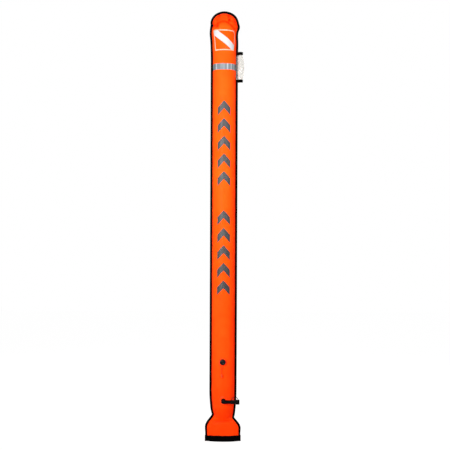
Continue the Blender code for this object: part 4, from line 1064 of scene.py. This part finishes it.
def spokes(count, inner, outer, width, low, high, place):
    # flat radial arms as closed boxes, all in one shape
    angle = 2 * np.pi * np.arange(count)[:, None, None] / count + np.pi / 2
    level = np.array([low, high, high, low, low])
    side = np.array([-1, -1, 1, 1, -1]) * width / 2
    reach = np.array([inner, outer])[None, :, None]
    points = placed(stacked(reach * np.cos(angle) - side * np.sin(angle),
                            reach * np.sin(angle) + side * np.cos(angle), level), place)
    return putMesh("spokes", [unmapped(points)], blackPlastic, close=True)


def makeInflator():
    # hose, valve body with a knurled collar, and the wide fluted mouthpiece on its end
    hose = revolve("inflatorHose", [(5.6, 11.4), (8.0, 11.4), (7.9, 14.4), (7.35, 19),
                                    (7.2, 24.4), (7.45, 31), (7.5, 33), (7.5, 38.0),
                                    (5.6, 38.0)], blackRubber, alongHose, 0.6, 72)
    standIn(hose, "inflator_hose")
    body = revolve("inflatorBody", [
        (7.8, 33.4), (8.6, 33.4), (8.9, 33.8), (8.9, 38.0), (8.4, 39.0), (8.4, 41), (8.1, 41.4),
        (8.1, 42.2), (8.4, 42.6), (8.4, 44.6), (8.1, 45), (8.1, 45.8), (8.4, 46.2), (8.4, 55.0),
        (8.0, 55.4), (6, 55.4), (6, 45.6), (2.8, 45.6), (2.8, 44.0), (6, 44.0), (6, 38.3),
        (7.8, 38.3)], blackPlastic, alongHose, 0.2, 180,
        fluting(0.03, 30, 2, 8.7, 0.1, 33.9, 37.9, 0.4, 0.4), steps=4)
    standIn(body, "inflator_body")
    turn = np.radians(np.linspace(0, 90, 8))
    lip = stacked(8.7 + 1.5 * np.cos(turn), 67 + 1.5 * np.sin(turn))
    tip = revolve("inflatorTip", [
        (8.9, 54.5), (9.9, 54.5), (10.2, 54.9), (10.2, 58), (10.2, 62), *lip, (5.3, 68.5),
        (4.6, 67.8), (4.6, 52.2), (5.7, 52.2), (5.7, 60.0), (8.9, 60.0)], blackPlastic,
        alongHose, 0.25, 180, fluting(0.045, 18, 2, 9.8, 0.3, 55.6, 66.2, 1.2, 1.4), steps=4)
    hub = revolve("hub", [(1.6, 57.0), (2.7, 57.0), (2.7, 60.0), (1.6, 60.0)], blackPlastic,
                  alongHose, 0.15, 36)
    arms = spokes(3, 2.2, 5.1, 1.2, 57.5, 59.5, alongHose)
    carve(tip, [hub, arms], sharp=32)
    standIn(tip, "inflator_tip")


springs = {
    "valveSpring": {"node": "valve_spring", "radius": 3.6, "wire": 0.7, "turns": 3, "axis": 1,
                    "place": facingFront(*valveSpot), "joint": "relief_lift", "travel": 2},
    "inflatorSpring": {"node": "inflator_spring", "radius": 3.4, "wire": 0.8, "turns": 5,
                       "axis": 0, "place": alongHose, "joint": "mouthpiece_push", "travel": 4},
}


def makeSpring(name, spring):
    # round wire along a helix, its ends closed
    axis = spring["axis"]
    ends = np.array(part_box(spring["node"]))[:, axis] * 1000
    low, high = np.sort(abs(ends))
    half = spring["wire"] / 2
    t = np.linspace(0, 1, 48 * spring["turns"] + 1)
    t = np.concatenate([t[:1], t, t[-1:]])[:, None]
    section = np.linspace(0, 2 * np.pi, 15)
    wire = np.full_like(t, half)
    wire[[0, -1]] = 0
    angle = 2 * np.pi * spring["turns"] * t
    radius = spring["radius"] + wire * np.cos(section)
    rise = low + half + (high - low - 2 * half) * t + wire * np.sin(section)
    points = placed(stacked(radius * np.cos(angle), radius * np.sin(angle), rise),
                    spring["place"])
    piece = putMesh(name, [(points, stacked(angle, section))], springSteel)
    standIn(piece, spring["node"])
    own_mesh(piece)


ringLow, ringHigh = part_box("line_ring")
ring = {"x": (ringLow[0] + ringHigh[0]) * 500, "pivot": 190.2, "depth": 36, "radius": 13.75,
        "wire": 1.25, "tabWidth": 5.6, "foot": 18, "web": 1.2, "lean": 1.4, "eye": 2.0,
        "tabOffset": 5.2}


def makeRing():
    # a torus of wire with the slight swelling of its butt weld
    around = np.linspace(0, 2 * np.pi, 161)[:, None]
    section = np.linspace(0, 2 * np.pi, 25)
    wire = ring["wire"] * (1 + 0.06 * hump(np.degrees(around), 250, 5))
    radius = ring["radius"] + wire * np.cos(section)
    points = stacked(ring["x"] + radius * np.sin(around), wire * np.sin(section) - ring["depth"],
                     radius * np.cos(around) - ring["radius"] + ring["pivot"])
    piece = putMesh("lineRing", [(points, stacked(around, section))], stainlessSteel)
    standIn(piece, "line_ring")


def makeRingTab():
    # doubled webbing: a foot sewn to the edge tape, a neck and an eye round the ring
    foot, web, z = tape["half"] + tube["fit"], ring["web"], ring["pivot"]
    eyeOut = ring["eye"] + web
    reach = np.sqrt(eyeOut**2 - web**2)
    gap = np.arcsin(web / eyeOut)
    turn = np.linspace(gap - np.pi, np.pi - gap, 40)
    eye = stacked(ring["depth"] + eyeOut * np.cos(turn), z + eyeOut * np.sin(turn))
    neck = ring["depth"] - reach - 6
    half = ring["foot"] / 2
    lower = softOutline([(foot, z - half), (foot + web, z - half), (foot + web, z - web),
                         (neck, z - web), eye[0]], 0.9, 7)
    upper = lower[::-1] * (1, -1) + (0, 2 * z)
    outline = np.concatenate([lower[:-1], eye, upper[1:], lower[:1]])
    step = np.linspace(-1, 1, 7)[:, None]
    middle = float(seamHalf(z, 1)) + ring["tabOffset"]
    across = step * ring["tabWidth"] / 2
    x = middle + across - ring["lean"] * (outline[:, 0] - foot) / ring["depth"]
    points = stacked(x, -outline[:, 0], outline[:, 1])
    uv = stacked(across, lengthAlong(outline))
    piece = putMesh("ringTab", [(points, uv)], edgeWebbing, close=True)
    carve(piece, cuts=[drill("eye", ring["eye"], -8, 8, edgeWebbing,
                             (sideways, (ring["x"], -ring["depth"], z)), 40)])
    addRim(piece, 0.2)
    settle(piece)
    standIn(piece, "ring_tab")


# Prints: thin layers of ink on the front panel, placed by distance round it and height

flag = {"corners": [(-43.5, 1631.6), (45, 1631.6), (55.5, 1715), (-50, 1719.2)], "line": 4.2,
        "stripe": ([(-45.8, 1715), (-26.6, 1715), (43.6, 1656), (40.9, 1635.8)],
                   [(-45.8, 1715), (-44.5, 1696.3), (30, 1635.8), (40.9, 1635.8)]),
        "fields": [([(-25.5, 1714.2), (36, 1711.2), (48.5, 1698)],
                    [(-25.5, 1713.8), (20, 1676.4), (43.4, 1657)]),
                   ([(-44, 1695.4), (28.8, 1636.2)], [(-40, 1636), (28.8, 1636)])]}
marks = {"centres": [1392 - 73.4 * k for k in range(5)] + [936 - 72.7 * k for k in range(5)],
         "half": 27.9, "height": 63, "arm": 33, "slope": 1.075}


def ruled(first, second, along, across):
    # straight rulings between two lines of corners, each line sampled evenly by its corners
    lines = [sampleLine(np.array(line, dtype=float), np.arange(len(line)),
                        np.linspace(0, len(line) - 1, along)) for line in (first, second)]
    t = np.linspace(0, 1, across)[:, None, None]
    both = lines[0] * (1 - t) + lines[1] * t
    return both[..., 0], both[..., 1]


def evenLoop(corners, radii):
    loop = softOutline(corners, radii, 8, closed=True)
    run = lengthAlong(loop)
    return sampleLine(loop, run, np.linspace(0, run[-1], 241))


def makePrint(name, ink, grids, thickness=0.12):
    # a layer of ink over grids of (distance round the panel, height)
    piece = putMesh(name, [(onCloth(-1, arc, z, 0.05), stacked(arc, z)) for arc, z in grids],
                    ink, towards=(0, -1, 0))
    thicken(piece, thickness)
    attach(piece, "tube")


def makePrints():
    corners = np.array(flag["corners"])
    inwards = flag["line"] * np.array([(1, 1), (-1, 1), (-1, -1), (1, -1)])
    t = np.linspace(0, 1, 5)[:, None, None]
    outline = evenLoop(corners, (3, 3, 20, 4)) * (1 - t) \
        + evenLoop(corners + inwards, (1.5, 1.5, 16, 1.5)) * t
    makePrint("printFlag", whiteInk, [ruled(*flag["stripe"], 121, 15)])
    makePrint("printFlagLine", thinInk, [(outline[..., 0], outline[..., 1])])
    makePrint("printFlagField", fieldInk, [ruled(*field, 50, 30) for field in flag["fields"]],
              0.06)
    side = np.linspace(-1, 1, 31) * marks["half"]
    t = np.linspace(0, 1, 14)[:, None]
    centre = np.array(marks["centres"])[:, None, None]
    z = centre + marks["height"] / 2 - marks["slope"] * abs(side) - marks["arm"] * (1 - t)
    makePrint("printMarks", charcoalInk, [(np.broadcast_to(side, one.shape), one) for one in z])


makePullCord()
print("cord ready")
makePanel("panelFront", -1, "front_panel", (valveSpot, inflatorSpot))
makePanel("panelBack", 1, "back_panel")
print("panels ready")
seamPath = makeEdgeTape()
makeStitches("edgeStitches", [(seamPath + (0, side * (tape["half"] + 0.02), 0), (0, side, 0),
                               3.5, 26, 26) for side in (-1, 1)])
makeHem()
makeHemInner("hemInnerFront", -1, "mouth_hem_inner_front")
makeHemInner("hemInnerBack", 1, "mouth_hem_inner_back")
makeFlap("flapFront", -1, "duckbill_flap_front")
makeFlap("flapBack", 1, "duckbill_flap_back")
print("edge tape, hem and flaps ready")
makeBand("bandFront", -1, "reflective_band_front")
makeBand("bandBack", 1, "reflective_band_back")
pocketLow = pocket["top"] - pocket["height"]
makePocketTape("pocketTapeBottom", "sleeve_tape_bottom", pocketLow, 0, 0)
makePocketTape("pocketTapeTop", "sleeve_tape_top", pocket["top"] - pocket["tapeHeight"], 3.7, 0.8)
makePocketFilm()
makePrints()
print("bands, pocket and prints ready")
makePatch("valvePatch", valveSpot, 12.4, "valve_patch")
makePatch("inflatorPatch", inflatorSpot, 10.2, "inflator_patch")
makeValveCap()
makeElbow()
makeInflator()
for name, spring in springs.items():
    makeSpring(name, spring)
makeRing()
makeRingTab()
print("fittings ready")

# the CAD's own solids that stay get their materials
nodeFinish = {
    blackRubber: ("valve_gasket", "inflator_gasket"),
    blackPlastic: ("valve_nut", "inflator_nut", "valve_base", "valve_poppet", "inflator_stem"),
    greySilicone: ("valve_seal", "inflator_seal")}
for finish, nodes in nodeFinish.items():
    for node in nodes:
        for part in frame["nodes"][node].material_slots:
            part.material = finish


# The studio: a pale floor, a soft lamp in front on the left, a small weak one beside it for the
# foot of the tube, a fill on the right and a large one behind

studio = {"ambient": 0.16, "mirrored": 0.25, "floor": "#9C9C9C", "floorLift": 0.94}
lamps = {"key": (7.9, 0.8, 60, (-1.15, -2.65, 1.25), (0, 0, 1.3)),
         "low": (0.25, 0.25, 40, (-1.2, -2.2, 1.0), (0, 0, 0.3)),
         "fill": (2.2, 0.8, 50, (1.1, -2.7, 1.5), (0, 0, 1.4)),
         "back": (14, 1.6, 120, (1.2, 2.6, 2.2), (0, 0, 1.0))}


def whiteForLens(owner):
    # 1 for rays from the camera and through clear things, less for those seen in shiny things
    rays = addNode(owner, "LightPath").outputs
    shine = mathNode(owner, "MULTIPLY", rays["Is Glossy Ray"], studio["mirrored"])
    seen = mathNode(owner, "MAXIMUM", rays["Is Camera Ray"], rays["Is Transmission Ray"])
    return mathNode(owner, "MAXIMUM", seen, shine)


def makeFloor():
    corners = [[(-4000, y, 0), (4000, y, 0)] for y in (-4000, 6000)]
    finish = startFinish("paleFloor", studio["floor"], 0.9, Specular_IOR_Level=0.0,
                         Emission_Color=(1, 1, 1, 1))
    lift = mathNode(finish, "MULTIPLY", whiteForLens(finish), studio["floorLift"])
    drive(finish, "Emission Strength", lift)
    putMesh("floor", [unmapped(np.array(corners, dtype=float))], finish,
                     towards=(0, 0, 1))


def makeLamp(name, power, size, spread, place, aim):
    # watts, metres, degrees, and where it stands and points to in metres
    lamp = bpy.data.lights.new(name, "AREA")
    lamp.energy = power
    lamp.size = size
    lamp.spread = np.radians(spread)
    holder = bpy.data.objects.new(name, lamp)
    holder.location = place
    holder.rotation_euler = (Vector(aim) - Vector(place)).to_track_quat("-Z", "Y").to_euler()
    bpy.context.collection.objects.link(holder)


def makeWorld():
    world = bpy.data.worlds.new("studio")
    world.use_nodes = True
    back = world.node_tree.nodes["Background"]
    back.inputs["Color"].default_value = (1, 1, 1, 1)
    level = addNode(world, "MapRange", {"Value": whiteForLens(world), "To Max": 1.0,
                                        "To Min": studio["ambient"]})
    link(world, level, back.inputs["Strength"])
    bpy.context.scene.world = world


makeFloor()
makeWorld()
for name, lamp in lamps.items():
    makeLamp(name, *lamp)
bpy.context.scene.view_settings.view_transform = "Standard"
print("studio ready")
